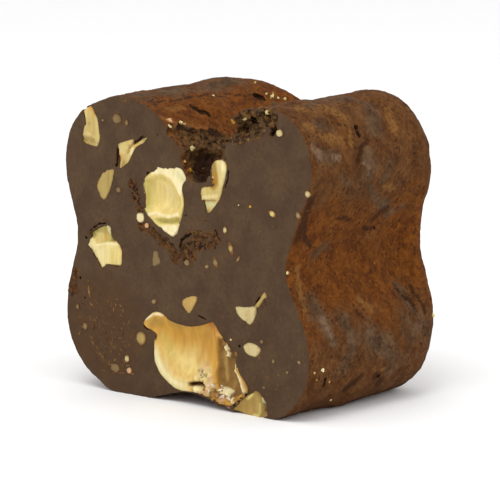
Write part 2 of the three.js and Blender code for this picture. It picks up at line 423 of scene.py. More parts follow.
# Streaks of painted shade along folds, crevices and grooves and near the floor, and where bright cocoa
# shows.
SHADE_STREAKS = [
    ([(10.4, 0.5, 15.3), (9.9, 0.6, 13.6), (9.3, 0.4, 12.5)], 0.45),
    ([(10.2, 0.6, 14.4), (9.4, 1.3, 12.5), (9.2, 2.2, 11.8)], 0.3),
    ([(9.9, 9.7, 13.7), (9.7, 8.1, 13.0)], 0.25),
    ([(9.9, 4.4, 13.6), (9.8, 5.6, 13.3)], 0.2),
    ([(9.4, 8.7, 12.3), (9.3, 7.4, 12.5)], 0.18),
    ([(10.8, 6.4, 18.8), (10.9, 5.4, 18.2), (11.1, 5.0, 17.4)], 0.19),
    ([(10.3, 5.4, 7.0), (10.8, 6.6, 6.2)], 0.16),
    ([(10.1, 10.7, 7.9), (10.5, 11.1, 7.2), (10.8, 11.7, 6.5)], 0.16),
    ([(10.2, 11.9, 7.9), (10.9, 12.6, 6.2)], 0.2),
    ([(-3.9, 0.8, 20.8), (-3.4, 3.2, 20.6), (-3.5, 5.0, 20.6), (-3.1, 7.6, 20.5)], 0.09),
    ([(-3.3, 8.2, 20.6), (-2.8, 9.6, 20.3), (-2.9, 10.4, 20.4)], 0.12),
    ([(10.7, 7.5, 2.6), (10.3, 8.3, 1.8)], 0.4),
    ([(10.9, 5.6, 2.6), (10.4, 4.6, 1.6)], 0.35),
]
BRIGHT_STREAKS = [
    ([(9.7, 5.0, 20.3), (8.8, 4.4, 20.8), (8.2, 2.0, 21.0)], 0.7),
    ([(10.4, 1.6, 19.3), (10.6, 3.6, 19.0)], 0.5),
    ([(10.2, 9.6, 20.0), (10.8, 9.2, 19.0)], 0.6),
    ([(9.7, 0.8, 20.0), (10.0, 1.8, 19.8)], 0.35),
    ([(10.7, 8.2, 15.3), (10.5, 9.6, 15.0)], 0.3),
    ([(10.2, 4.7, 19.1), (10.7, 4.4, 18.4)], 0.3),
    ([(10.2, 6.2, 7.8), (10.4, 7.2, 7.0)], 0.4),
    ([(10.9, 7.1, 2.9), (10.8, 8.3, 2.8)], 0.22),
    ([(8.9, 1.2, 10.5), (9.2, 1.0, 9.0), (9.8, 0.8, 7.8)], 0.35),
    ([(-2.9, 1.5, 20.3), (-2.6, 3.0, 20.1)], 0.25),
]
# The crust's bright rim where it broke along the torn hollow.
TORN_LIP = [
    ([(-2.1, 0.4, 19.6), (-1.6, 1.2, 19.3), (-1.2, 2.3, 18.9), (-0.9, 3.4, 18.7), (-0.6, 4.2, 18.6)], 0.3),
    ([(3.4, 0.2, 19.9), (4.4, 0.2, 20.5), (5.6, 0.2, 21.0), (7.0, 0.2, 21.4)], 0.25),
]
GROOVE_TO_LOBE = (9.3, 12.6)  # from the middle to the skin in a groove, and on a lobe
# Soft folds of the crust, and below zero its ridges: path, half width and depth.
FOLDS = [
    ([(10.6, 7.3, 19.2), (10.8, 6.5, 18.8), (10.9, 5.6, 18.4), (11.0, 5.1, 17.9), (11.1, 4.9, 17.2)],
     0.32, 0.3),
    ([(8.4, 8.9, 21.0), (9.2, 9.5, 20.8), (10.2, 9.2, 20.0), (10.8, 8.3, 19.1)], 0.5, 0.16),
    ([(7.8, 7.2, 21.2), (9.0, 8.2, 20.8), (9.8, 7.8, 20.1), (10.4, 7.2, 19.5)], 0.5, -0.18),
    ([(9.3, 3.4, 20.6), (10.1, 3.8, 19.8), (10.6, 4.0, 19.0)], 0.5, 0.14),
    ([(11.0, 6.2, 18.0), (11.1, 6.2, 17.0)], 0.6, -0.14),
    ([(11.0, 4.4, 17.2), (10.8, 4.8, 16.2)], 0.4, 0.15),
    ([(9.6, 2.7, 8.4), (10.1, 3.1, 7.5), (10.6, 2.9, 6.2)], 0.45, 0.08),
    ([(10.1, 10.7, 7.9), (10.5, 11.1, 7.2), (10.8, 11.7, 6.5)], 0.24, 0.34),
    ([(10.5, 9.6, 7.2), (11.0, 9.9, 6.0)], 0.5, -0.14),
    ([(10.3, 13.4, 15.2), (10.0, 10.6, 14.2), (9.8, 8.2, 13.2)], 0.3, 0.16),
    ([(10.5, 12.6, 15.9), (10.5, 10.2, 15.2), (10.5, 8.8, 14.8)], 0.3, 0.12),
    ([(10.3, 0.4, 14.8), (9.8, 1.2, 13.2), (9.3, 2.4, 11.8)], 0.35, 0.16),
    ([(-2.7, 3.8, 20.1), (-2.1, 4.1, 19.7), (-1.8, 4.9, 19.4)], 0.3, 0.25),
    ([(-4.4, 6.0, 21.0), (-4.2, 9.0, 21.0)], 0.5, 0.15),
    ([(-10.5, 6.0, 12.8), (-10.1, 7.2, 12.3)], 0.35, 0.25),
    ([(-3.5, 15.4, 9.0), (-2.6, 15.5, 9.4), (-2.2, 15.5, 10.2)], 0.35, 0.25),
]
# Dark holes and nicks in the crust: path, half width and depth.
CREVICES = [
    ([(10.2, 5.6, 19.6), (10.4, 5.5, 19.3), (10.6, 5.4, 19.0)], 0.19, 0.4),
    ([(10.7, 7.7, 2.4)], 0.18, 0.3),
    ([(9.4, 6.8, 12.9)], 0.09, 0.15),
    ([(9.9, 4.4, 13.6)], 0.1, 0.15),
    ([(9.4, 8.7, 12.3)], 0.11, 0.15),
    ([(10.7, 1.8, 3.1), (10.5, 1.9, 2.6)], 0.16, 0.3),
    ([(10.8, 13.5, 6.8)], 0.12, 0.2),
    ([(-2.6, 10.8, 20.2), (-2.5, 11.1, 20.15)], 0.36, 0.55),
    ([(-2.75, 3.9, 20.1), (-2.2, 4.3, 19.75), (-1.85, 4.8, 19.45)], 0.15, 0.24),
]
SKIN_SPACING = 0.35  # between the spots of a path over the skin
CREVICE_SEED = 3
CREVICE_SPACING = 0.1
CREVICE_WIDTHS = (0.75, 1.2)  # shares of the half width that its balls vary between
CREVICE_LEVELS = (0.0, 0.5, 1.0)  # shares of the depth at which they lie
CREVICE_STRAY = 0.15  # share of the half width by which they stray
CREVICE_NARROWING = 0.4  # share of the width that is lost at the bottom
CREVICE_GRAIN = [(0.25, 0.08)]
FINE_VOXEL = 0.065
LUMPS = [(2.6, 0.24)]  # from kneading and rolling
LUMPS_FULL = 1.2  # the cut has none, and this far behind it they are full
POWDER_GRAIN = [(0.6, 0.11), (0.25, 0.06)]
POWDER_RUBBED = (0.35, 0.65)  # marks of the rubbed patches between which the powder thins out
POWDER_LOSS = 0.5  # share of its grain that is lost there


def along_the_skin(points, path, spacing=SKIN_SPACING):
    """The path as spots of the skin itself."""
    spots = spots_on(path, spacing)
    return [points[np.argmin(np.sum((points - spot) ** 2, axis=1))] for spot in spots]


def share_on_paths(points, paths):
    """1 on the paths, falling to 0 at twice their half width."""
    best = np.zeros(len(points))
    for path, half_width in paths:
        away = path_distance(points, along_the_skin(points, path))
        best = np.maximum(best, 1 - away / (2 * half_width))
    return best


def fold(log):
    """Sinks the folds into the skin and raises the ridges."""
    points = points_of(log)
    inward = np.column_stack([MIDDLE[0] - points[:, 0], 0 * points[:, 1], MIDDLE[1] - points[:, 2]])
    inward /= np.maximum(np.linalg.norm(inward, axis=1), NEXT_TO_NOTHING)[:, None]
    for path, half_width, depth in FOLDS:
        away = path_distance(points, along_the_skin(points, path)) / half_width
        points = points + inward * (depth * np.exp(-(away**2)))[:, None]
    place_points(log, points)


def work_the_crust(log):
    """Kneaded unevenness, the grain of the cocoa, and the marks its finish reads."""
    points = points_of(log)
    for name, paths in (
        ("rubbed_and_sheen", RUBBED_AND_SHEEN),
        ("smeared", SMEARED),
        ("streak_shade", SHADE_STREAKS),
        ("brightened", BRIGHT_STREAKS),
        ("broken", TORN_LIP),
    ):
        mark(log, name, share_on_paths(points, paths))
    reach = np.hypot(points[:, 0] - MIDDLE[0], points[:, 2] - MIDDLE[1])
    mark(log, "exposed", smoothstep(reach, *GROOVE_TO_LOBE))
    fold(log)
    roughen(log, LUMPS, weigh(log, "kneaded", smoothstep(points[:, 1], 0, LUMPS_FULL)))
    powdered = 1 - POWDER_LOSS * smoothstep(marks_of(log, "rubbed_and_sheen"), *POWDER_RUBBED)
    roughen(log, POWDER_GRAIN, weigh(log, "powdered", powdered))
    points = points_of(log)
    points[:, 2] = np.maximum(points[:, 2], FLAT_HEIGHT)
    place_points(log, points)


def crevice_tool(log):
    """The cracks and nicks of the crust, as one rough solid."""
    random = np.random.default_rng(CREVICE_SEED)
    skin = points_of(log)
    balls = []
    for path, half_width, depth in CREVICES:
        spots = along_the_skin(skin, path, CREVICE_SPACING)
        for before, spot, after in zip(spots[:1] + spots, spots, spots[1:] + spots[-1:]):
            spot = (before + spot + after) / 3
            to_middle = np.array([MIDDLE[0], spot[1], MIDDLE[1]]) - spot
            if spot[1] > LENGTH:
                to_middle = np.array([0.0, -1.0, 0.0])
            inward = to_middle / np.linalg.norm(to_middle)
            size = half_width * random.uniform(*CREVICE_WIDTHS)
            for share in CREVICE_LEVELS:
                aside = random.normal(0, CREVICE_STRAY * half_width, 3)
                middle = spot + inward * depth * share + aside
                balls.append(ball(middle, [size * (1 - CREVICE_NARROWING * share)] * 3, 2))
    return rough_solid("crevices", balls, FINE_VOXEL, CREVICE_GRAIN)


# ---- The cut -----------------------------------------------------------------------------------

KNIFE_BLOCK = (24.0, 24.0, 20.0)  # width, height and depth of what the knife leaves
KNIFE_MIDDLE_Z = 10.6
KNIFE_DRAG = [(1.9, 0.1), (0.45, 0.05)]


def knife_block():
    """A block whose front is the cut: what is in front of it is taken off the log."""
    width, height, depth = KNIFE_BLOCK
    bpy.ops.mesh.primitive_grid_add(
        x_subdivisions=round(width / FACE_CELL),
        y_subdivisions=round(height / FACE_CELL),
        size=1,
        rotation=(math.pi / 2, 0, 0),
        location=(0, 0, KNIFE_MIDDLE_Z),
    )
    block = newest("knife_block")
    block.scale = (width, height, 1)
    settle(block)
    bpy.ops.object.mode_set(mode="EDIT")
    bpy.ops.mesh.select_all(action="SELECT")
    bpy.ops.mesh.extrude_region_move(TRANSFORM_OT_translate={"value": (0, depth, 0)})
    bpy.ops.mesh.select_all(action="SELECT")
    bpy.ops.mesh.normals_make_consistent(inside=False)
    bpy.ops.object.mode_set(mode="OBJECT")
    front = weigh(block, "front", (points_of(block)[:, 1] < depth / 2).astype(float))
    roughen(block, KNIFE_DRAG, front, direction="Y")
    return block


# ---- Torn edge and pits ------------------------------------------------------------------------

# The hollow torn out of the top edge of the cut, as rough balls: middle and half sizes.
TORN_BOWL = [
    ((1.2, 0.6, 19.3), (2.8, 3.3, 1.8)),
    ((1.6, 3.2, 18.9), (2.6, 2.6, 1.7)),
    ((1.15, 0.7, 17.0), (1.4, 2.4, 1.5)),
    ((2.7, 0.3, 18.0), (1.05, 1.3, 0.85)),
]
BOWL_VOXEL = 0.12
BOWL_GRAIN = [(1.0, 0.35), (0.5, 0.3), (0.25, 0.22)]
# Where the cut crumbled away beside it, and the holes between the crumbs.
CRUMBLED = [
    ((3.5, 0.1, 19.6), (0.8, 1.1, 0.7)),
    ((4.0, -0.2, 19.2), (0.75, 0.8, 0.75)),
    ((5.0, -0.2, 19.6), (0.9, 0.85, 0.8)),
    ((5.9, -0.25, 19.9), (0.85, 0.75, 0.85)),
    ((6.8, -0.25, 20.4), (0.8, 0.65, 0.65)),
    ((7.7, -0.3, 20.5), (0.5, 0.6, 0.45)),
    ((5.6, 0.3, 20.2), (0.48, 1.3, 0.42)),
    ((4.7, 0.3, 19.5), (0.42, 1.2, 0.36)),
    ((7.25, 0.1, 20.5), (0.2, 0.8, 0.32)),
    ((7.85, 0.0, 19.75), (0.32, 0.75, 0.26)),
    ((7.6, 0.0, 19.4), (0.18, 0.55, 0.24)),
    ((3.63, 0.2, 18.97), (0.22, 0.9, 0.3)),
    ((6.4, 0.1, 19.5), (0.2, 0.7, 0.35)),
]
CRUMBLED_VOXEL = 0.09
CRUMBLED_GRAIN = [(0.6, 0.4), (0.3, 0.3), (0.18, 0.15)]
# Pores and cracks of the cut, and the smallest holes between the crumbs: path as x and z, and half width.
PITS = [
    ([(-6.0, 17.2), (-6.1, 16.7), (-6.15, 16.1)], 0.12),
    ([(-4.75, 17.6), (-4.4, 17.87), (-4.1, 18.05), (-3.8, 18.25)], 0.09),
    ([(-3.3, 15.8)], 0.15),
    ([(3.86, 16.6), (3.86, 16.1), (3.6, 15.5)], 0.07),
    ([(-9.0, 10.8)], 0.14),
    ([(-8.6, 11.35), (-8.3, 11.6), (-7.8, 11.87), (-7.2, 12.0)], 0.08),
    ([(-3.7, 5.2), (-3.3, 5.0)], 0.14),
    ([(-0.4, 11.0), (-0.3, 11.5), (0.1, 11.8), (0.6, 12.0)], 0.12),
    ([(1.2, 11.9), (1.6, 11.85), (2.1, 11.9)], 0.07),
    ([(2.45, 12.0), (2.65, 12.15)], 0.07),
    ([(2.75, 12.2), (2.8, 12.5)], 0.09),
    ([(-0.75, 10.6)], 0.12),
    ([(-0.35, 10.85)], 0.09),
    ([(-0.2, 10.4), (-0.1, 10.15)], 0.1),
    ([(0.7, 11.3)], 0.08),
    ([(1.8, 11.1)], 0.08),
    ([(-2.1, 11.6)], 0.08),
    ([(-4.3, 14.3)], 0.09),
    ([(6.6, 8.3), (6.35, 7.95)], 0.13),
    ([(4.9, 4.8)], 0.14),
    ([(5.4, 1.4), (4.9, 1.1), (4.4, 0.8)], 0.12),
    ([(1.0, 11.0)], 0.08),
    ([(3.1, 17.5), (3.7, 17.5)], 0.14),
    ([(-2.4, 18.5)], 0.08),
    ([(0.1, 13.2)], 0.07),
    ([(-3.0, 9.3)], 0.08),
    ([(1.2, 6.5), (1.9, 6.3)], 0.07),
    ([(-9.6, 7.9)], 0.12),
    ([(-9.2, 6.5)], 0.1),
    ([(4.6, 20.2)], 0.16),
    ([(5.55, 20.3), (5.85, 20.2)], 0.24),
    ([(4.8, 19.5)], 0.2),
    ([(7.3, 20.4)], 0.2),
    ([(7.8, 19.9), (7.7, 19.4)], 0.18),
    ([(4.5, 18.95)], 0.14),
    ([(6.25, 19.1)], 0.16),
    ([(3.55, 19.1)], 0.2),
]
PIT_SEED = 5
PIT_SPACING = 0.13
PIT_WIDTHS = (0.8, 1.25)  # shares of the half width, as for the crevices
PIT_STRAY = 0.25
PIT_LENGTHENING = 2.2  # how much deeper than wide its balls are
PIT_FRONT = 0.05  # where their middles lie, behind the cut
PIT_GRAIN = [(0.2, 0.12)]
# Bands where the paste tore as the knife dragged it: path as x and z, half width and depth.
TORN_BANDS = [
    ([(-4.7, 15.0), (-4.35, 14.4), (-4.1, 13.8), (-4.0, 13.3)], 0.34, 0.15),
    ([(-3.7, 12.3), (-3.1, 11.8), (-2.4, 11.5), (-1.7, 11.3), (-1.1, 10.9), (-0.4, 10.5)], 0.34, 0.15),
    ([(-0.6, 10.2), (0.1, 10.8), (1.0, 11.4), (2.0, 11.5), (2.6, 11.9)], 0.5, 0.14),
]
BAND_SEED = 8
BAND_SPACING = 0.6  # in half widths
BAND_WIDTHS = (0.45, 1.3)
BAND_STRAY = 0.4
BAND_FRONT = -0.02  # where their middles lie, in front of the cut
BAND_VOXEL = 0.07
BAND_GRAIN = [(0.4, 0.22), (0.17, 0.12)]


def pit_tool():
    """The pores and cracks of the cut, as one rough solid."""
    random = np.random.default_rng(PIT_SEED)
    balls = []
    for path, half_width in PITS:
        for x, z in spots_on(path, PIT_SPACING):
            size = half_width * random.uniform(*PIT_WIDTHS)
            aside = random.normal(0, PIT_STRAY * half_width, 2)
            middle = (x + aside[0], PIT_FRONT, z + aside[1])
            balls.append(ball(middle, (size, size * PIT_LENGTHENING, size), 2))
    return rough_solid("pits", balls, FINE_VOXEL, PIT_GRAIN)


def band_tool():
    """What the knife tore out of the cut in shallow bands, as one rough solid."""
    random = np.random.default_rng(BAND_SEED)
    balls = []
    for path, half_width, depth in TORN_BANDS:
        for x, z in spots_on(path, BAND_SPACING * half_width):
            size, deep = (half_width, depth) * random.uniform(*BAND_WIDTHS, 2)
            aside = random.normal(0, BAND_STRAY * half_width, 2)
            balls.append(ball((x + aside[0], BAND_FRONT, z + aside[1]), (size, deep, size), 3))
    return rough_solid("torn_bands", balls, BAND_VOXEL, BAND_GRAIN)


# ---- Hazelnut pieces ---------------------------------------------------------------------------

NUT_VOXEL = 0.07
NUT_FRONT = -0.04  # how far the pieces stand in front of the cut
NUT_GRAIN = [(1.2, 0.06), (0.3, 0.03)]
BROKEN_GRAIN = [(0.5, 0.35), (0.2, 0.3)]
SKIN_OVER_NUTS = 0.1  # the pieces stay this far within the skin of the log
POCKET_FRONT = -1.0
POCKET_SHALLOWER = 0.1  # each pocket is a little smaller than its nut, so that no gap shows
POCKET_NARROWER = 0.05
OUTLINE_POINTS = 160
CURVE_STEPS = 12  # points from one corner of an outline to the next
NARROWING = [(0.45, 0.96), (0.35, 0.8), (0.2, 0.55)]  # share of the depth, and of the width behind it
FRONT_SKIN = 0.03  # points this close to the front belong to it
BROKEN_EDGE = 0.1  # how softly a broken area starts
# Brown along each outline: partly brown skin, partly painted shade of the gap round the piece.
SKIN_AND_SHADE_EDGE = (-0.02, 0.1)  # the brown along an outline, from outside it to inside
SKIN_AND_SHADE_STRENGTH = 0.5

NUT_COLOURS = {
    "ivory": (238, 226, 182),
    "cream": (226, 212, 156),
    "butter": (222, 204, 130),
    "honey": (228, 208, 138),
    "wheat": (206, 186, 122),
    "gold": (209, 161, 68),
    "deep_gold": (196, 142, 50),
    "amber": (168, 126, 34),
    "olive": (152, 124, 58),
    "khaki": (168, 140, 74),
    "moss": (196, 184, 108),
    "pear": (206, 206, 156),
    "orange": (190, 120, 46),
    "peach": (214, 164, 98),
    "tan": (138, 102, 48),
    "sand": (188, 156, 90),
    "pink": (212, 168, 130),
    "brown": (112, 74, 32),
    "skin": (78, 38, 12),
    "pebble": (200, 184, 136),
    "straw": (172, 150, 88),
    "dusk": (150, 128, 92),
    "muted": (128, 108, 72),
}

# Outlines are x and z corners on the cut. Each row of relief sinks a part of the front (or raises it,
# below zero): corners, half width of a line or 0 for the whole area, depth, width of its slope. Each
# row of paint is a colour, corners, half width or 0, softness of its edge and strength.
NUTS = {
    "scooped": {
        "outline": [
            (5.6, 1.9), (4.35, 0.75), (3.4, 0.65), (1.4, 1.1), (-0.35, 1.1), (-1.05, 1.25), (-2.2, 2.0),
            (-2.6, 2.55), (-2.8, 3.05), (-2.8, 4.55), (-3.0, 4.85), (-3.7, 5.25), (-3.7, 5.55),
            (-2.85, 6.25), (-2.45, 6.35), (-2.0, 6.25), (-1.25, 5.9), (0.55, 5.75), (2.05, 6.2),
            (2.65, 6.25), (2.9, 5.75), (4.25, 4.45), (4.6, 4.45), (4.75, 3.2),
        ],
        "depth": 3.6,
        "relief": [
            ([(2.7, 6.7), (2.9, 3.65), (2.75, 2.9), (2.3, 2.2), (1.5, 1.9), (-0.55, 1.9), (-1.1, 2.05),
              (-1.55, 2.65), (-2.2, 3.2), (-3.0, 4.7), (-3.4, 5.0), (-2.9, 5.9), (-2.3, 6.1), (-1.8, 5.95),
              (-1.4, 6.3)], 0, 0.9, 2.2),
            ([(-3.45, 5.7), (-2.9, 6.1), (-2.45, 6.2), (-2.05, 6.15)], 0.11, -0.1, 0.11),
            ([(2.85, 5.3), (3.55, 5.15), (3.8, 4.6), (4.5, 4.35), (4.7, 3.9), (4.6, 3.15), (5.2, 2.3),
              (5.1, 1.6), (4.1, 1.2), (3.0, 1.5), (2.7, 2.75), (2.85, 3.5)], 0, 0.5, 0.35),
            ([(0.4, 1.65), (1.0, 1.8), (1.6, 1.8)], 0.14, 0.6, 0.12),
            ([(1.5, 1.8)], 0.22, 0.4, 0.15),
            ([(3.9, 4.75), (3.9, 4.4), (3.7, 4.05)], 0.16, -0.45, 0.1),
            ([(4.45, 3.6), (4.45, 3.1), (4.8, 2.6), (5.25, 2.2), (5.45, 1.75)], 0.1, -0.4, 0.07),
            ([(1.4, 2.95)], 0.25, -0.3, 0.2),
            ([(1.0, 2.2)], 0.28, -0.3, 0.2),
            ([(1.05, 1.4)], 0.27, -0.2, 0.2),
            ([(1.5, 2.6)], 0.2, -0.25, 0.15),
            ([(2.15, 2.5)], 0.25, -0.3, 0.2),
            ([(2.1, 1.5)], 0.25, -0.2, 0.2),
            ([(3.2, 1.6), (3.85, 1.5)], 0.2, -0.3, 0.12),
            ([(3.45, 1.0)], 0.24, -0.25, 0.2),
            ([(4.35, 1.15), (4.35, 0.9)], 0.12, -0.3, 0.08),
            ([(2.7, 1.2)], 0.25, -0.2, 0.2),
        ],
        "rough": [
            ([(2.95, 5.2), (3.6, 5.1), (4.6, 4.3), (4.6, 3.0), (5.1, 2.1), (4.3, 1.8), (3.0, 2.0),
              (2.9, 3.5)], 0.5),
            ([(4.9, 1.6), (4.6, 0.7), (2.5, 0.7), (1.2, 1.0), (0.7, 2.2), (0.8, 3.2), (1.9, 3.1), (2.6, 2.4),
              (3.6, 1.9)], 1.0),
        ],
        "base": "gold",
        "paint": [
            ("honey", [(-2.0, 3.6), (0.6, 3.9), (1.8, 2.8), (0.3, 1.9), (-0.9, 2.1)], 0, 0.9, 0.9),
            # Deeper gold on the right of the scoop: partly the flesh's colour, partly painted shade.
            ("deep_gold", [(0.7, 3.3), (1.0, 4.3), (1.6, 5.0)], 0.25, 0.4, 0.55),
            ("deep_gold", [(1.6, 3.4), (2.1, 5.2)], 0.18, 0.3, 0.4),
            ("peach", [(1.2, 3.6), (1.5, 4.5), (2.0, 5.4)], 0.1, 0.2, 0.4),
            ("moss", [(-2.3, 4.6), (-1.8, 3.9), (-1.6, 3.3)], 0.3, 0.4, 0.5),
            ("khaki", [(-3.2, 5.5), (-2.4, 5.6)], 0.3, 0.25, 0.6),
            ("khaki", [(-1.5, 5.6), (-0.6, 5.5)], 0.25, 0.25, 0.4),
            ("cream", [(0.5, 1.0), (-1.2, 0.9), (-3.2, 2.3), (-2.9, 4.2), (-2.55, 3.95), (-2.2, 3.2),
                       (-1.55, 2.65), (-1.1, 2.05), (-0.55, 1.9), (0.3, 1.85)], 0, 0.42, 1.0),
            ("ivory", [(-2.6, 3.5), (-2.4, 2.9), (-1.9, 2.3), (-1.2, 1.7), (-0.4, 1.5)], 0.16, 0.2, 0.9),
            # Painted highlight along the raised rim of the horn.
            ("ivory", [(-3.45, 5.75), (-2.9, 6.1), (-2.45, 6.2), (-2.05, 6.15)], 0.11, 0.07, 0.9),
            ("amber", [(-1.85, 6.1), (-1.25, 5.95), (-0.55, 5.85), (0.75, 5.8)], 0.07, 0.07, 0.7),
            ("orange", [(1.9, 5.95), (2.35, 6.0), (2.6, 5.7)], 0.3, 0.3, 0.8),
            ("amber", [(2.45, 5.5), (2.75, 4.85), (2.9, 3.65)], 0.09, 0.1, 0.8),
            ("tan", [(2.85, 5.3), (3.55, 5.15), (3.8, 4.6), (4.6, 4.5), (4.7, 3.9), (4.6, 3.15), (5.2, 2.3),
                     (5.1, 1.6), (4.1, 1.2), (3.0, 1.5), (2.75, 2.75), (2.9, 3.5)], 0, 0.12, 1.0),
            ("sand", [(3.2, 4.2), (3.4, 2.4)], 0.15, 0.15, 0.7),
            ("peach", [(2.9, 5.4), (3.15, 5.1), (3.2, 4.8)], 0.14, 0.12, 0.8),
            ("brown", [(3.4, 4.9), (3.5, 4.2)], 0.1, 0.12, 0.8),
            ("olive", [(4.1, 2.2), (4.0, 1.9)], 0.15, 0.15, 0.8),
            ("ivory", [(3.9, 4.75), (3.9, 4.4), (3.7, 4.05)], 0.15, 0.05, 1.0),
            ("brown", [(4.35, 3.5), (4.3, 3.05), (5.2, 1.65)], 0.1, 0.08, 0.7),
            # Painted highlight along the raised right rim.
            ("ivory", [(4.45, 3.6), (4.45, 3.1), (5.25, 2.2), (5.45, 1.75)], 0.09, 0.04, 1.0),
            ("cream", [(0.9, 3.1), (1.7, 3.0), (2.4, 2.6), (2.6, 1.9), (2.2, 1.1), (1.0, 1.0), (0.7, 1.5)],
             0, 0.2, 0.8),
            ("pink", [(1.35, 2.95)], 0.25, 0.2, 0.7),
            ("pink", [(2.25, 2.3), (2.1, 1.6), (1.6, 1.15)], 0.2, 0.2, 0.7),
            ("brown", [(0.9, 2.6)], 0.1, 0.1, 0.8),
            ("brown", [(1.7, 2.35)], 0.1, 0.1, 0.7),
            ("skin", [(0.4, 1.65), (1.6, 1.8)], 0.12, 0.07, 1.0),
            ("ivory", [(1.05, 1.4)], 0.24, 0.08, 1.0),
            ("brown", [(2.6, 1.35), (4.6, 1.3)], 0.3, 0.2, 0.6),
            ("ivory", [(3.2, 1.6), (3.85, 1.5)], 0.2, 0.08, 1.0),
            ("ivory", [(4.35, 1.15), (4.35, 0.9)], 0.1, 0.05, 1.0),
            ("pink", [(3.45, 1.0)], 0.22, 0.1, 0.9),
        ],
    },
    "corner": {
        "outline": [
            (4.25, 0.35), (4.35, 0.6), (6.1, 1.95), (7.0, 1.55), (7.3, 1.2), (7.35, 0.45), (7.0, 0.2),
            (6.2, 0.0), (5.0, 0.1),
        ],
        "depth": 2.2,
        "relief": [
            ([(7.6, 0.0), (6.4, 0.0), (6.7, 0.55), (6.6, 1.7), (7.1, 1.6), (7.6, 1.3)], 0, 0.4, 0.6),
            ([(4.0, 0.2), (4.3, 0.7), (6.1, 2.2), (6.6, 1.7), (6.5, -0.3), (4.5, -0.3)], 0, 0.25, 1.2),
            ([(6.9, 1.55), (6.9, 1.3)], 0.13, -0.2, 0.1),
        ],
        "rough": [
            ([(6.8, 1.5), (7.3, 1.3), (7.3, 0.4), (6.8, 0.3)], 0.7),
        ],
        "base": "khaki",
        "paint": [
            ("moss", [(6.2, 1.5), (6.4, 0.8)], 0.2, 0.3, 0.15),
            ("sand", [(5.75, 0.5), (5.4, 0.6)], 0.3, 0.35, 0.5),
            ("olive", [(4.6, 0.5), (5.0, 0.8)], 0.2, 0.25, 0.6),
            ("butter", [(5.5, 1.35), (5.95, 1.7)], 0.1, 0.08, 0.9),
            ("butter", [(6.0, 0.25), (6.4, 0.25)], 0.13, 0.1, 0.9),
            ("muted", [(6.95, 1.2), (7.1, 0.9)], 0.18, 0.12, 0.7),
            ("moss", [(6.65, 1.15), (6.65, 0.6), (6.5, 0.25)], 0.07, 0.06, 0.9),
            ("pear", [(6.9, 1.55), (6.9, 1.3)], 0.1, 0.06, 1.0),
            ("skin", [(7.0, 0.75)], 0.12, 0.08, 0.8),
            ("pink", [(7.0, 0.45)], 0.12, 0.1, 0.6),
        ],
    },
    "hollow": {
        "outline": [
            (-0.95, 11.75), (-1.4, 11.75), (-2.85, 12.55), (-3.6, 13.3), (-3.65, 14.3), (-3.65, 15.35),
            (-2.7, 16.15), (-2.2, 16.35), (-1.7, 16.3), (-0.5, 16.45), (-0.15, 16.3), (0.15, 15.85),
            (0.15, 15.65), (-0.1, 15.35), (-0.2, 14.95), (-0.05, 13.95), (-0.6, 12.1),
        ],
        "depth": 3.0,
        "relief": [
            ([(-3.7, 13.4), (-3.6, 15.3), (-2.75, 15.75), (-1.85, 15.8), (-1.4, 15.6), (-1.1, 15.4),
              (-0.3, 14.3), (-0.25, 13.9), (-0.4, 13.45), (-1.3, 13.15), (-3.2, 13.2)], 0, 0.7, 1.2),
            ([(-2.85, 12.75), (-2.1, 12.85), (-1.4, 12.8), (-0.4, 13.1), (-0.4, 12.6), (-1.1, 12.5),
              (-2.3, 12.4)], 0, 0.28, 0.22),
            ([(-3.25, 12.95), (-2.65, 13.1), (-1.4, 12.95), (-0.6, 13.2)], 0.1, -0.05, 0.1),
        ],
        "rough": [
            ([(-2.4, 12.3), (-1.4, 12.5), (-0.5, 12.5), (-0.8, 11.6), (-1.9, 11.8)], 0.5),
            ([(-3.0, 15.8), (-2.2, 16.1), (-0.6, 16.3), (-0.6, 16.6), (-2.2, 16.6), (-3.1, 16.1)], 0.6),
        ],
        "base": "honey",
        "paint": [
            ("moss", [(-3.5, 15.2), (-3.5, 14.0), (-3.4, 13.3)], 0.35, 0.4, 0.9),
            ("moss", [(-2.6, 15.5), (-2.0, 15.6)], 0.15, 0.2, 0.6),
            ("peach", [(-1.0, 15.15), (-0.7, 14.65)], 0.1, 0.14, 0.6),
            ("butter", [(-0.6, 14.6), (0.1, 14.6), (0.0, 13.3), (-0.7, 13.2), (-0.9, 13.9)], 0, 0.2, 0.8),
            ("cream", [(-1.9, 14.7), (-1.5, 13.9)], 0.5, 0.5, 0.6),
            ("ivory", [(-3.0, 15.8), (-2.9, 16.1), (-2.15, 16.5), (-0.5, 16.6), (0.3, 16.2), (0.3, 15.4),
                       (-0.4, 14.55), (-0.9, 15.35), (-1.3, 15.7), (-1.75, 15.9)], 0, 0.05, 1.0),
            ("pear", [(-0.5, 16.0), (-0.2, 15.7)], 0.22, 0.2, 0.7),
            ("ivory", [(-2.45, 15.95), (-1.75, 15.95), (-1.25, 15.8), (-0.85, 15.4), (-0.4, 14.65)],
             0.08, 0.05, 0.9),
            ("moss", [(-2.85, 12.7), (-2.1, 12.85), (-0.4, 13.05), (-0.4, 12.6), (-1.1, 12.5), (-2.3, 12.4)],
             0, 0.08, 0.9),
            ("khaki", [(-0.7, 12.9)], 0.12, 0.2, 0.6),
            ("ivory", [(-3.25, 12.95), (-2.65, 13.15), (-1.4, 13.0), (-0.6, 13.25)], 0.1, 0.07, 1.0),
            ("ivory", [(-2.5, 12.2), (-1.4, 12.45), (-0.4, 12.5), (-0.5, 11.5), (-1.9, 11.7)], 0, 0.12, 1.0),
        ],
    },
    "notch": {
        "outline": [
            (1.9, 13.55), (1.7, 14.35), (1.55, 14.45), (1.55, 15.25), (2.55, 15.45), (2.6, 15.6),
            (2.4, 16.35), (2.4, 16.85), (2.85, 17.25), (3.45, 17.3), (3.65, 17.15), (3.75, 16.9),
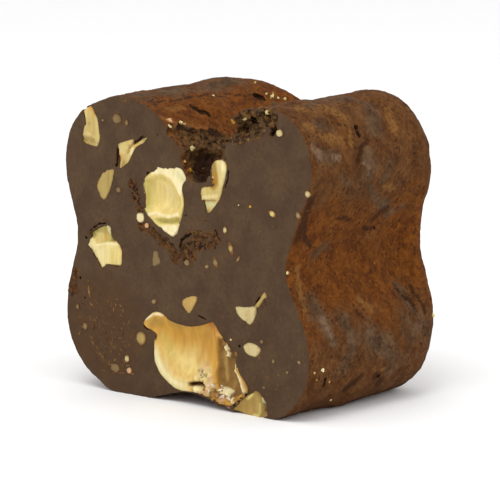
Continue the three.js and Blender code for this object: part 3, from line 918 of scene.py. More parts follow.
            (3.7, 16.45), (3.15, 14.65), (2.45, 13.75), (2.2, 13.55),
        ],
        "depth": 2.4,
        "relief": [
            ([(2.1, 17.3), (2.75, 17.0), (2.95, 16.4), (2.95, 15.9), (2.85, 15.5), (2.5, 15.5), (2.2, 16.2)],
             0, 0.06, 0.5),
            ([(1.65, 14.4), (2.75, 14.5)], 0.07, 0.15, 0.07),
            ([(1.4, 14.4), (3.1, 14.5), (2.5, 13.2), (1.6, 13.2)], 0, 0.12, 0.25),
        ],
        "rough": [
            ([(1.5, 14.9), (2.9, 14.9), (2.9, 14.2), (1.5, 14.2)], 0.4),
        ],
        "base": "wheat",
        "paint": [
            # Olive and amber down the left side: the nut's colour, partly painted shade where it turns into
            # the hollow.
            ("olive", [(2.5, 16.95), (2.65, 15.9)], 0.34, 0.14, 0.95),
            ("amber", [(2.7, 16.2), (2.8, 15.75), (2.55, 15.45)], 0.27, 0.14, 0.95),
            ("cream", [(3.2, 17.15), (3.5, 16.6), (3.4, 15.8)], 0.25, 0.2, 0.95),
            ("ivory", [(3.3, 17.1), (3.45, 16.7)], 0.14, 0.14, 0.8),
            ("moss", [(2.0, 15.1), (2.6, 15.1)], 0.15, 0.2, 0.6),
            ("cream", [(1.65, 14.6), (2.9, 14.85)], 0.13, 0.08, 0.9),
            ("pear", [(1.85, 14.15), (2.55, 14.2)], 0.15, 0.12, 0.8),
            ("brown", [(1.65, 14.4), (2.75, 14.5)], 0.04, 0.05, 0.7),
            ("khaki", [(2.05, 13.65)], 0.2, 0.16, 0.8),
        ],
    },
    "left": {
        "outline": [
            (-5.85, 9.0), (-7.15, 9.0), (-7.6, 8.75), (-7.8, 8.8), (-8.85, 10.1), (-8.85, 10.3),
            (-8.65, 10.85), (-8.8, 11.05), (-8.75, 11.25), (-7.65, 11.8), (-6.95, 11.85), (-6.7, 11.7),
            (-6.65, 11.2), (-5.85, 10.5), (-5.65, 10.1),
        ],
        "depth": 2.4,
        "relief": [
            ([(-8.9, 11.6), (-7.6, 12.1), (-7.15, 12.0), (-7.1, 11.6), (-6.2, 10.75), (-7.15, 10.65),
              (-7.25, 10.55), (-8.1, 10.4), (-8.4, 10.75), (-9.0, 11.0)], 0, 0.35, 0.2),
            ([(-7.1, 11.9), (-6.6, 11.9), (-6.6, 11.2), (-6.85, 11.2), (-7.0, 11.45)], 0, -0.1, 0.1),
            ([(-7.15, 9.0), (-5.7, 9.05)], 0.12, 0.25, 0.1),
            ([(-9.1, 10.4), (-8.4, 10.1), (-7.7, 9.2), (-7.4, 8.5), (-8.5, 8.6)], 0, 0.25, 0.5),
            ([(-5.95, 10.6), (-5.8, 9.9), (-5.95, 9.2), (-5.4, 9.2), (-5.4, 10.6)], 0, 0.2, 0.25),
        ],
        "rough": [
            ([(-8.8, 10.6), (-8.2, 10.3), (-8.0, 9.4), (-8.6, 9.2), (-9.0, 10.0)], 0.4),
        ],
        "base": "cream",
        "paint": [
            ("butter", [(-6.85, 10.35), (-5.8, 10.5), (-5.7, 9.9), (-5.8, 9.0), (-7.05, 9.0), (-6.95, 9.8)],
             0, 0.3, 0.9),
            ("deep_gold", [(-5.9, 10.5), (-5.7, 10.1), (-5.75, 9.65)], 0.07, 0.07, 0.8),
            ("brown", [(-7.15, 9.0), (-5.8, 9.1)], 0.1, 0.06, 0.8),
            ("muted", [(-8.1, 9.2), (-7.6, 8.8)], 0.1, 0.2, 0.35),
            ("ivory", [(-8.5, 9.9), (-8.3, 9.7)], 0.12, 0.1, 0.8),
            ("moss", [(-6.2, 10.75), (-7.15, 10.65), (-8.1, 10.4), (-8.4, 10.75), (-9.0, 11.0), (-8.9, 11.6),
                       (-7.6, 12.1), (-7.15, 12.0), (-7.1, 11.6)], 0, 0.05, 0.9),
            ("honey", [(-8.45, 11.15), (-7.9, 11.25), (-7.6, 11.1), (-7.65, 10.65), (-8.1, 10.45),
                       (-8.35, 10.7)], 0, 0.1, 0.9),
            ("gold", [(-7.45, 11.6), (-7.25, 11.35), (-7.2, 10.7), (-7.5, 10.65), (-7.6, 11.1)],
             0, 0.15, 0.6),
            ("amber", [(-7.0, 11.15), (-6.6, 11.1), (-6.3, 10.8), (-6.85, 10.75)], 0, 0.1, 0.95),
            ("butter", [(-8.05, 11.45), (-7.35, 11.75)], 0.07, 0.06, 0.8),
            ("pear", [(-7.1, 11.9), (-6.65, 11.9), (-6.65, 11.2), (-6.85, 11.2), (-7.0, 11.45)],
             0, 0.05, 1.0),
            ("ivory", [(-8.1, 10.35), (-7.15, 10.6), (-6.15, 10.6)], 0.07, 0.05, 0.8),
        ],
    },
    "edge": {
        "outline": [
            (-8.5, 20.05), (-7.9, 19.2), (-7.75, 18.35), (-7.7, 17.8), (-8.0, 17.15), (-9.35, 17.35),
            (-9.35, 17.85), (-9.1, 18.8), (-9.35, 19.75), (-9.1, 19.95),
        ],
        "depth": 1.8,
        "relief": [
            ([(-9.6, 17.9), (-8.9, 17.95), (-8.2, 17.8), (-7.6, 17.5), (-7.9, 17.0), (-9.6, 17.0)],
             0, 0.15, 0.3),
            ([(-9.3, 19.55), (-9.1, 18.75)], 0.16, 0.15, 0.12),
            ([(-8.7, 18.75)], 0.15, 0.05, 0.15),
        ],
        "rough": [
            ([(-9.4, 18.1), (-8.0, 18.1), (-7.9, 17.2), (-9.4, 17.2)], 0.3),
        ],
        "base": "wheat",
        "paint": [
            ("khaki", [(-8.5, 18.9), (-8.3, 18.2)], 0.3, 0.5, 0.35),
            ("peach", [(-9.05, 19.7)], 0.15, 0.2, 0.6),
            ("gold", [(-8.6, 19.9), (-8.35, 19.7), (-8.2, 19.4)], 0.12, 0.12, 0.9),
            ("amber", [(-8.8, 20.05), (-8.4, 20.0), (-8.2, 19.8)], 0.07, 0.07, 0.8),
            ("brown", [(-9.3, 19.55), (-9.1, 18.7)], 0.1, 0.09, 0.9),
            ("olive", [(-9.25, 17.6), (-8.85, 17.65), (-8.45, 17.55)], 0.18, 0.2, 0.7),
            ("cream", [(-8.95, 18.1), (-8.6, 18.0)], 0.1, 0.12, 0.6),
            ("olive", [(-8.7, 18.75)], 0.1, 0.1, 0.6),
            ("moss", [(-7.8, 18.3), (-7.8, 17.8)], 0.12, 0.12, 0.8),
        ],
    },
    "split": {
        "outline": [
            (-3.35, 18.3), (-3.65, 17.85), (-4.4, 17.45), (-5.1, 16.35), (-6.0, 15.8), (-6.05, 16.45),
            (-5.9, 17.0), (-6.0, 17.45), (-5.9, 17.65), (-4.6, 18.05), (-4.75, 17.6), (-4.55, 17.65),
        ],
        "depth": 1.3,
        "relief": [
            ([(-5.0, 17.4), (-5.0, 17.2), (-5.15, 17.0)], 0.09, 0.12, 0.09),
            ([(-6.3, 16.9), (-5.2, 16.9), (-5.2, 16.0), (-6.3, 15.5)], 0, 0.2, 0.6),
            ([(-5.0, 17.4), (-4.75, 17.6)], 0.06, 0.3, 0.06),
        ],
        "rough": [
            ([(-6.0, 17.6), (-4.6, 18.0), (-4.9, 17.3), (-5.9, 17.0)], 0.4),
        ],
        "base": "wheat",
        "paint": [
            ("olive", [(-5.0, 17.4), (-5.15, 17.0)], 0.06, 0.08, 0.7),
            ("ivory", [(-4.6, 17.4), (-4.8, 17.0)], 0.08, 0.08, 0.7),
            ("peach", [(-5.8, 16.9), (-5.7, 16.6)], 0.15, 0.15, 0.9),
            ("khaki", [(-5.55, 16.35), (-5.7, 16.1)], 0.16, 0.16, 0.9),
            ("gold", [(-4.55, 17.55), (-4.1, 17.8)], 0.07, 0.07, 0.8),
            ("khaki", [(-3.7, 18.0), (-3.4, 18.2)], 0.07, 0.07, 0.8),
        ],
    },
}


def smooth_outline(corners, count):
    """Points at even steps round a smooth closed curve through the corners."""
    knots = np.asarray(corners, float)
    before, after, beyond = (np.roll(knots, shift, axis=0) for shift in (1, -1, -2))
    curve = []
    for share in np.linspace(0, 1, CURVE_STEPS, endpoint=False):
        curve.append(
            0.5
            * (
                2 * knots
                + (after - before) * share
                + (2 * before - 5 * knots + 4 * after - beyond) * share**2
                + (3 * knots - before - 3 * after + beyond) * share**3
            )
        )
    curve = np.stack(curve, axis=1).reshape(-1, 2)
    closed = np.vstack([curve, curve[:1]])
    run = np.concatenate([[0], np.cumsum(np.linalg.norm(np.diff(closed, axis=0), axis=1))])
    steps = np.linspace(0, run[-1], count, endpoint=False)
    return np.column_stack([np.interp(steps, run, closed[:, 0]), np.interp(steps, run, closed[:, 1])])


def outline_block(name, corners, front, depth, grow=0.0):
    """A block with this outline on the cut that narrows as it goes into the paste."""
    rim = smooth_outline(corners, OUTLINE_POINTS)
    ahead = np.roll(rim, -1, axis=0) - np.roll(rim, 1, axis=0)
    aside = np.column_stack([ahead[:, 1], -ahead[:, 0]])
    area = np.sum(rim[:, 0] * np.roll(rim[:, 1], -1) - np.roll(rim[:, 0], -1) * rim[:, 1])
    rim = rim + grow * math.copysign(1, area) * aside / np.linalg.norm(aside, axis=1)[:, None]
    middle = rim.mean(axis=0)
    bpy.ops.mesh.primitive_circle_add(vertices=len(rim), fill_type="NGON")
    block = newest(name)
    place_points(block, np.column_stack([rim[:, 0], np.full(len(rim), front), rim[:, 1]]))
    bpy.ops.object.mode_set(mode="EDIT")
    bpy.ops.mesh.select_all(action="SELECT")
    for share, narrowing in NARROWING:
        step = share * (depth - front)
        bpy.ops.mesh.extrude_region_move(TRANSFORM_OT_translate={"value": (0, step, 0)})
        bpy.ops.transform.resize(
            value=(narrowing, 1, narrowing), center_override=(middle[0], 0, middle[1])
        )
    bpy.ops.mesh.select_all(action="SELECT")
    bpy.ops.mesh.normals_make_consistent(inside=False)
    bpy.ops.object.mode_set(mode="OBJECT")
    return block


def edge_distance(spots, corners):
    """Distance to a closed outline, negative inside."""
    x, z = spots[:, 0], spots[:, 1]
    nearest = np.full(len(spots), np.inf)
    inside = np.zeros(len(spots), bool)
    for start, end in zip(corners, corners[1:] + corners[:1]):
        nearest = np.minimum(nearest, segment_distance(spots, start, end))
        rise = end[1] - start[1] or NEXT_TO_NOTHING
        crossing = start[0] + (end[0] - start[0]) * (z - start[1]) / rise
        inside ^= ((start[1] > z) != (end[1] > z)) & (x < crossing)
    return np.where(inside, -nearest, nearest)


def distance_into(spots, corners, half_width):
    """How deep spots lie within an area, or within a line of this half width; below zero outside."""
    if half_width:
        return half_width - path_distance(spots, corners)
    return -edge_distance(spots, corners)


def carve(piece, relief):
    """Shapes the front of a piece. What was in front of the new surface is pushed back to it."""
    points = points_of(piece)
    spots = points[:, [0, 2]]
    front = np.full(len(points), NUT_FRONT)
    for corners, half_width, depth, slope in relief:
        share = np.clip(distance_into(spots, corners, half_width) / slope, 0, 1)
        front += depth * share * (2 - share)
    at_front = points[:, 1] < NUT_FRONT + FRONT_SKIN
    points[:, 1] = np.where(at_front, front, np.maximum(points[:, 1], front))
    place_points(piece, points)


def paint_nut(piece, base, strokes, outline=None):
    """The piece's colours: a base, strokes over it, and a brown edge along its outline, partly painted
    shade.
    """
    points = points_of(piece)
    spots = points[:, [0, 2]]
    colours = np.tile(linear(*NUT_COLOURS[base]), (len(points), 1))
    for name, corners, half_width, softness, strength in strokes:
        within = distance_into(spots, corners, half_width)
        share = strength * smoothstep(within, -softness, softness)[:, None]
        colours = colours * (1 - share) + np.array(linear(*NUT_COLOURS[name])) * share
    # Brown edge: partly skin, partly painted shade of the gap round the piece.
    if outline:
        within = distance_into(spots, outline, 0)
        share = SKIN_AND_SHADE_STRENGTH * (1 - smoothstep(within, *SKIN_AND_SHADE_EDGE))[:, None]
        colours = colours * (1 - share) + np.array(linear(*NUT_COLOURS["brown"])) * share
    layer = piece.data.attributes.new("tint", "FLOAT_COLOR", "POINT")
    layer.data.foreach_set("color", np.column_stack([colours, np.ones(len(points))]).ravel())


def nut_piece(name, nut, inner_log):
    piece = outline_block("nut_" + name, nut["outline"], NUT_FRONT, nut["depth"])
    modify(piece, "REMESH", mode="VOXEL", voxel_size=NUT_VOXEL)
    carve(piece, nut["relief"])
    modify(piece, "SMOOTH", factor=0.5, iterations=4)
    roughen(piece, NUT_GRAIN)
    spots = points_of(piece)[:, [0, 2]]
    broken = np.zeros(len(spots))
    for corners, strength in nut["rough"]:
        within = distance_into(spots, corners, 0)
        broken = np.maximum(broken, strength * smoothstep(within, -BROKEN_EDGE, BROKEN_EDGE))
    roughen(piece, BROKEN_GRAIN, weigh(piece, "broken", broken))
    cut(piece, inner_log, "INTERSECT", keep_tool=True)
    paint_nut(piece, nut["base"], nut["paint"], nut["outline"])
    return piece


# ---- Small chips of nut on the cut -------------------------------------------------------------

# Each: x, z, width, height, turn in degrees, colour.
CHIPS = [
    (-6.1, 19.3, 0.75, 0.65, 20, "muted"),
    (-5.2, 19.1, 0.22, 0.45, 0, "muted"),
    (-7.4, 19.1, 0.2, 0.16, 0, "muted"),
    (-6.0, 14.4, 0.38, 0.34, 0, "muted"),
    (10.7, 15.7, 0.36, 0.5, -20, "pebble"),
    (9.9, 14.2, 0.32, 0.5, -25, "dusk"),
    (8.3, 19.5, 0.56, 0.5, 10, "pebble"),
    (7.7, 14.1, 0.74, 0.36, 22, "butter"),
    (5.8, 14.4, 0.2, 0.2, 0, "gold"),
    (3.6, 12.6, 0.32, 0.5, 0, "pebble"),
    (4.1, 11.4, 0.34, 0.95, -18, "straw"),
    (4.75, 10.75, 0.18, 0.6, 35, "dusk"),
    (2.75, 10.3, 0.32, 0.85, -25, "dusk"),
    (2.0, 9.95, 0.4, 0.24, -20, "dusk"),
    (0.2, 10.0, 0.45, 0.4, 0, "muted"),
    (-4.0, 12.7, 0.7, 0.75, 0, "ivory"),
    (-3.4, 12.2, 0.4, 0.34, 0, "pink"),
    (-2.8, 7.0, 0.4, 0.3, -20, "dusk"),
    (-8.8, 7.0, 0.2, 0.85, -10, "muted"),
    (9.0, 10.3, 0.2, 0.26, 0, "cream"),
    (4.8, 14.4, 0.1, 0.09, 0, "ivory"),
    (-4.0, 4.3, 0.75, 1.0, 10, "straw"),
    (-5.3, 2.7, 0.38, 0.6, 5, "pebble"),
    (-5.1, 1.9, 0.4, 0.45, 30, "pink"),
    (-6.4, 1.9, 0.85, 0.6, 0, "muted"),
    (-9.2, 4.5, 0.4, 0.45, 0, "muted"),
    (6.8, 5.4, 0.28, 0.22, 20, "muted"),
    (4.1, 5.2, 0.18, 0.16, 0, "cream"),
    (7.8, 4.2, 0.24, 0.3, 0, "muted"),
    (10.0, 4.4, 0.4, 0.2, 30, "dusk"),
    (9.0, 3.6, 0.2, 0.2, 0, "muted"),
    (7.0, 2.3, 0.26, 0.16, 0, "muted"),
    (-9.9, 5.8, 0.24, 0.4, 0, "muted"),
]
CHIP_OUTLINES = {
    "wedge": (
        "pebble",
        [(4.5, 7.5), (5.5, 7.6), (6.3, 7.7), (6.2, 6.9), (5.8, 6.4), (5.3, 6.6), (4.8, 6.9)],
    ),
    "tail": (
        "straw",
        [(6.15, 7.7), (6.5, 7.7), (6.9, 8.2), (7.25, 8.5), (7.0, 8.8), (6.7, 8.4)],
    ),
    "potato": (
        "pebble",
        [(5.2, 4.9), (5.7, 5.2), (6.4, 5.1), (6.7, 4.8), (6.3, 4.3), (5.5, 4.4)],
    ),
    "sliver": (
        "straw",
        [(-6.8, 15.8), (-6.4, 15.7), (-6.6, 14.8), (-7.1, 13.8), (-7.5, 13.6), (-8.0, 14.5), (-7.5, 15.4)],
    ),
    "dull": (
        "muted",
        [(-2.8, 10.45), (-2.45, 10.5), (-2.35, 10.25), (-2.2, 9.75), (-2.6, 9.5), (-2.9, 9.5)],
    ),
    "cube": (
        "sand",
        [(-0.1, 7.5), (0.5, 7.75), (1.0, 7.8), (1.1, 7.55), (0.5, 6.6), (0.1, 6.7), (-0.2, 7.1)],
    ),
}
CHIP_FRONT = -0.05
CHIP_DEPTH = 0.13  # half of a small chip's depth
OUTLINED_CHIP_DEPTH = 0.5
# A small chip's lumps by size and height, and its paler middle by half width and softness, both as
# shares of its smaller side.
CHIP_LUMPS = (0.6, 0.35)
CHIP_MIDDLE = (0.48, 0.2)
CHIP_FINE_LUMPS = (0.2, 0.08)
CHIP_VOXEL = 0.06
CHIP_GRAIN = [(0.35, 0.1), (0.15, 0.05)]


def chip(x, z, width, height, turn, colour):
    """A lumpy bit with a flat front, browner towards its edge."""
    piece = ball((0, 0, 0), (width / 2, CHIP_DEPTH, height / 2), 3)
    piece.rotation_euler = (0, math.radians(turn), 0)
    piece.location = (x, 0, z)
    settle(piece)
    smaller = min(width, height)
    roughen(piece, [tuple(share * smaller for share in CHIP_LUMPS), CHIP_FINE_LUMPS])
    points = points_of(piece)
    points[:, 1] = np.maximum(points[:, 1], CHIP_FRONT)
    place_points(piece, points)
    half_width, softness = (share * smaller for share in CHIP_MIDDLE)
    paint_nut(piece, "brown", [(colour, [(x, z)], half_width, softness, 1.0)])
    return piece


def nut_chips():
    pieces = [chip(*row) for row in CHIPS]
    for name, (colour, corners) in CHIP_OUTLINES.items():
        piece = outline_block(name, corners, CHIP_FRONT, OUTLINED_CHIP_DEPTH)
        modify(piece, "REMESH", mode="VOXEL", voxel_size=CHIP_VOXEL)
        modify(piece, "SMOOTH", factor=0.5, iterations=2)
        roughen(piece, CHIP_GRAIN)
        paint_nut(piece, colour, [], corners)
        pieces.append(piece)
    return joined(pieces, "nut_chips")


# ---- Crumbs ------------------------------------------------------------------------------------

CRUMB_SHAPES = 5
CRUMB_LUMPS = [(0.4, 0.8), (0.17, 0.5)]
CRUMB_SQUASH = (0.65, 1.25)
TRAIL_STEP = 0.1
TRAIL_SPREAD = 0.6  # by how much dragged crumbs point away from their trail
DRAGGED_LENGTHS = (0.9, 3.0)
DRAGGED_HEIGHT = 0.35
DRAGGED_WIDTHS = (0.35, 0.8)
SMALLEST_ON_TRAIL = 0.3  # as a share of the largest
CRUMB_SEED = 23
BOWL_CRUMBS = 300
SMALLEST_IN_BOWL = 0.1
LARGER_IN_BOWL = 0.3  # how much larger than that they can be
BOWL_BOTTOM = 15  # the torn hollow is above this height,
BEHIND_THE_CUT = 0.2  # and its wall further in than this
BEFORE_THE_CUT = -5  # everything is behind this
CRUMB_COLOURS = {
    "paste": (92, 68, 44),
    "olive": (104, 80, 48),
    "brown": (68, 42, 21),
    "cocoa": (98, 58, 24),
    "amber": (134, 88, 40),
    "dark": (40, 24, 11),
    "ochre": (120, 84, 44),
    "sandy": (140, 106, 60),
    "pink": (192, 150, 122),
    "white": (246, 230, 202),
    "tan": (152, 116, 66),
}
BOWL_COLOURS = ["paste", "brown", "brown", "cocoa", "amber", "dark", "brown", "olive"]
# Crumbs on the cut: path as x and z, half width, count, largest size, whether the knife dragged
# them flat, and their colours.
CRUMB_TRAILS = [
    ([(-4.8, 15.0), (-4.2, 14.0), (-3.9, 13.1)], 0.35, 60, 0.26, False,
     ["brown", "brown", "dark", "cocoa", "paste"]),
    ([(-3.7, 12.3), (-2.6, 11.7), (-1.6, 11.2), (-0.4, 10.5)], 0.3, 80, 0.3, False,
     ["paste", "brown", "dark", "cocoa", "ochre"]),
    ([(0.0, 12.1), (0.8, 12.2), (1.7, 12.05), (2.3, 12.25), (2.7, 12.7)], 0.1, 45, 0.3, False,
     ["olive", "ochre", "cocoa"]),
    ([(2.4, 12.6), (2.8, 12.0), (2.5, 11.3)], 0.28, 36, 0.3, False, ["olive", "brown", "paste", "ochre"]),
    ([(0.0, 10.9), (1.0, 11.4), (2.2, 11.3)], 0.45, 50, 0.36, False, ["paste", "brown", "paste", "dark"]),
    ([(-0.8, 10.4), (0.3, 9.9)], 0.35, 26, 0.24, False, ["brown", "cocoa", "paste"]),
    ([(1.8, 13.4), (2.0, 13.0)], 0.2, 10, 0.22, False, ["amber", "cocoa"]),
    ([(3.6, 18.7), (4.6, 18.9), (6.0, 19.2), (6.9, 19.9)], 0.35, 110, 0.5, False,
     ["olive", "paste", "ochre", "brown", "paste", "brown"]),
    ([(4.2, 18.7), (4.6, 18.3), (5.0, 18.8), (6.0, 18.9), (6.6, 19.1), (7.0, 19.7), (7.6, 20.0)],
     0.12, 70, 0.4, False, ["olive", "sandy", "paste", "ochre"]),
    ([(4.4, 19.9), (5.4, 20.3), (6.4, 20.5), (7.6, 20.8)], 0.4, 90, 0.55, False,
     ["olive", "paste", "paste", "brown", "ochre"]),
    ([(5.6, 17.9), (6.4, 18.0)], 0.4, 10, 0.14, True, ["brown", "olive"]),
    ([(-9.2, 5.8), (-8.2, 4.0), (-7.2, 2.6)], 1.3, 80, 0.17, True, ["sandy", "olive", "ochre", "brown"]),
    ([(-8.4, 6.4), (-6.9, 4.8), (-6.0, 3.0)], 1.3, 95, 0.17, True, ["sandy", "olive", "ochre", "brown"]),
    ([(-6.8, 6.4), (-5.6, 5.2), (-4.6, 4.0)], 0.9, 50, 0.16, True, ["sandy", "olive", "ochre"]),
    ([(-7.8, 2.6), (-6.6, 1.9), (-5.0, 2.2)], 0.7, 60, 0.16, True, ["olive", "sandy", "ochre"]),
    ([(-9.9, 6.8), (-9.2, 7.4), (-8.2, 7.2)], 0.5, 24, 0.13, True, ["ochre", "olive"]),
    ([(-10.2, 8.3), (-10.2, 7.6), (-10.4, 6.9)], 0.35, 100, 0.34, False,
     ["cocoa", "cocoa", "paste", "brown", "ochre"]),
    ([(-10.1, 9.2), (-9.9, 10.6), (-10.0, 12.2), (-10.5, 14.0)], 0.08, 26, 0.14, False, ["cocoa", "amber"]),
    ([(-5.9, 20.4), (-5.0, 20.6), (-4.0, 20.6), (-3.2, 20.3)], 0.2, 50, 0.24, False,
     ["amber", "cocoa", "brown", "paste"]),
    ([(-9.6, 19.6), (-8.6, 20.4), (-7.4, 20.7), (-6.2, 20.7)], 0.12, 40, 0.16, False, ["cocoa", "amber"]),
    ([(3.2, 5.5), (3.7, 4.4), (3.9, 3.8)], 0.18, 14, 0.2, False, ["pink", "cocoa", "tan", "amber"]),
    ([(1.1, 2.6), (1.4, 2.2)], 0.3, 12, 0.26, False, ["white", "pink", "white", "tan"]),
    ([(2.0, 1.7), (2.8, 1.5), (3.8, 1.2)], 0.45, 60, 0.4, False, ["pink", "white", "pink", "white", "tan"]),
    ([(2.3, 0.8), (3.2, 0.6), (3.9, 0.5)], 0.16, 20, 0.3, False, ["brown", "pink", "cocoa"]),
    ([(4.4, 0.8), (4.9, 1.2), (5.5, 1.7)], 0.05, 20, 0.18, False, ["dark", "brown"]),
    ([(6.8, 7.4), (7.1, 8.3)], 0.15, 16, 0.22, False, ["cocoa", "brown"]),
    ([(-5.9, 17.4), (-6.1, 16.4)], 0.12, 12, 0.2, False, ["cocoa", "brown", "amber"]),
    ([(-8.8, 11.4), (-7.8, 12.1), (-6.9, 12.2)], 0.08, 20, 0.16, False, ["brown", "cocoa"]),
    ([(4.2, 10.2), (5.2, 9.4), (6.2, 10.6)], 0.9, 22, 0.1, True, ["olive", "cocoa"]),
    ([(6.0, 3.6), (8.4, 2.6)], 0.9, 24, 0.12, True, ["olive", "amber", "tan"]),
]
CRUMB_SETTING = 0.3  # share of its size that a crumb is pressed into the cut
# Crumbs of nut, each at x, y, z with its size and colour.
NUT_CRUMBS = [
    ((-1.9, 0.6, 19.5), 0.4, "pink"),
    ((-2.05, 0.5, 19.4), 0.22, "sand"),
    ((-1.6, 1.5, 19.3), 0.36, "cream"),
    ((-1.45, 1.7, 19.2), 0.22, "sand"),
    ((0.2, 0.9, 18.0), 0.3, "pebble"),
    ((0.1, 0.8, 17.7), 0.2, "peach"),
    ((-0.1, 0.6, 19.5), 0.26, "cream"),
    ((3.5, 0.0, 19.6), 0.34, "amber"),
    ((5.1, 0.1, 20.1), 0.34, "pebble"),
    ((0.3, 0.3, 16.5), 0.3, "amber"),
    ((0.2, 0.2, 16.8), 0.22, "peach"),
    ((-2.3, 12.0, 20.0), 0.26, "cream"),
    ((-2.5, 12.3, 20.1), 0.18, "straw"),
    ((-2.15, 11.7, 19.95), 0.2, "straw"),
    ((-2.0, 12.3, 19.9), 0.22, "ivory"),
    ((-1.7, 12.7, 19.8), 0.22, "honey"),
    ((-2.6, 11.7, 20.15), 0.2, "cream"),
    ((-4.0, 12.2, 20.9), 0.24, "sand"),
    ((-3.2, 6.7, 20.5), 0.12, "ivory"),
    ((7.2, -0.1, 20.8), 0.26, "pebble"),
    ((10.9, 1.4, 3.8), 0.26, "ivory"),
    ((10.85, 0.6, 3.7), 0.18, "cream"),
    ((10.65, 2.4, 2.8), 0.16, "sand"),
    ((10.7, 0.9, 3.2), 0.16, "amber"),
    ((9.5, 4.0, 1.1), 0.18, "cream"),
    ((10.8, 13.6, 5.75), 0.28, "cream"),
    ((9.1, 9.1, 9.8), 0.14, "amber"),
    ((2.5, 0.1, 16.05), 0.26, "pink"),
    ((2.7, 0.0, 15.75), 0.2, "amber"),
]


def crumb_shapes():
    """A few lumpy crumbs of size 1, which the scattered ones are copies of."""
    shapes = []
    for number in range(CRUMB_SHAPES):
        bpy.ops.mesh.primitive_ico_sphere_add(subdivisions=2, radius=0.5, location=(3.0 * number, 0, 0))
        crumb = bpy.context.active_object
        settle(crumb)
        roughen(crumb, CRUMB_LUMPS)
        points = points_of(crumb)
        faces = np.array([polygon.vertices[:] for polygon in crumb.data.polygons])
        shapes.append((points - points.mean(axis=0), faces))
        remove(crumb)
    return shapes


def scattered(name, shapes, crumbs, random):
    """Crumbs as one mesh, each turned and squashed its own way.

    One with a trail angle was dragged: it lies flat, and roughly along its trail.
    """
    points, faces, tints = [], [], []
    count = 0
    for spot, size, colour, trail_angle in crumbs:
        shape, shape_faces = shapes[random.integers(len(shapes))]
        turn = np.linalg.qr(random.normal(size=(3, 3)))[0]
        if np.linalg.det(turn) < 0:
            turn[:, 0] *= -1
        squash = random.uniform(*CRUMB_SQUASH, 3)
        if trail_angle is not None:
            angle = random.normal(trail_angle, TRAIL_SPREAD)
            cosine, sine = math.cos(angle), math.sin(angle)
            turn = np.array([[cosine, 0, -sine], [0, 1, 0], [sine, 0, cosine]])
            length, width = random.uniform(*DRAGGED_LENGTHS), random.uniform(*DRAGGED_WIDTHS)
            squash = np.array([length, DRAGGED_HEIGHT, width])
        points.append((shape * squash * size) @ turn.T + spot)
        faces.append(shape_faces + count)
        tints.append(np.tile([*linear(*colour), 1.0], (len(shape), 1)))
        count += len(shape)
    mesh = bpy.data.meshes.new(name)
    mesh.from_pydata(np.vstack(points).tolist(), [], np.vstack(faces).tolist())
    layer = mesh.attributes.new("tint", "FLOAT_COLOR", "POINT")
    layer.data.foreach_set("color", np.vstack(tints).ravel())
    piece = bpy.data.objects.new(name, mesh)
    bpy.context.scene.collection.objects.link(piece)
    return piece


def on_the_cut(surfaces, x, z):
    """The frontmost spot at this x and z."""
    hits = [surface.ray_cast((x, BEFORE_THE_CUT, z), (0, 1, 0)) for surface in surfaces]
    spots = [np.array(place) for hit, place, _, _ in hits if hit]
    return min(spots, key=lambda spot: spot[1]) if spots else None


def paste_crumbs(body, nuts, shapes):
    """Crumbs that cling to the torn hollow, lie along cracks and are dragged over the cut."""
    random = np.random.default_rng(CRUMB_SEED)
    faces = [
        face
        for face in body.data.polygons
        if face.material_index == TORN and face.center.z > BOWL_BOTTOM and face.center.y > BEHIND_THE_CUT
    ]
    areas = np.array([face.area for face in faces])
    crumbs = []
    for i in random.choice(len(faces), BOWL_CRUMBS, p=areas / areas.sum()):
        name = BOWL_COLOURS[random.integers(len(BOWL_COLOURS))]
        size = SMALLEST_IN_BOWL + LARGER_IN_BOWL * random.random() ** 3
        crumbs.append((np.array(faces[i].center), size, CRUMB_COLOURS[name], None))
    for path, half_width, count, largest, dragged, names in CRUMB_TRAILS:
        along = spots_on(path, TRAIL_STEP)
        for _ in range(count):
            step = random.integers(1, len(along))
            x, z = along[step] + random.normal(0, 0.5 * half_width, 2)
            spot = on_the_cut([body, *nuts], x, z)
            size = largest * (SMALLEST_ON_TRAIL + (1 - SMALLEST_ON_TRAIL) * random.random() ** 2)
            name = names[random.integers(len(names))]
            run_x, run_z = along[step] - along[step - 1]
            if spot is not None:
                pressed_in = 0 if dragged else CRUMB_SETTING * size
                trail_angle = math.atan2(run_z, run_x) if dragged else None
                crumbs.append((spot + np.array([0, pressed_in, 0]), size, CRUMB_COLOURS[name], trail_angle))
    return scattered("paste_crumbs", shapes, crumbs, random)


def nut_crumbs(body, shapes):
    random = np.random.default_rng(CRUMB_SEED + 1)
    crumbs = []
    for spot, size, colour in NUT_CRUMBS:
        resting_place = np.array(body.closest_point_on_mesh(spot)[1])
        crumbs.append((resting_place, size, NUT_COLOURS[colour], None))
    return scattered("nut_crumbs", shapes, crumbs, random)


# ---- Finishes ----------------------------------------------------------------------------------

PATTERN_TURN = (34, 23, 51)  # degrees, so that no pattern lines up with the cut


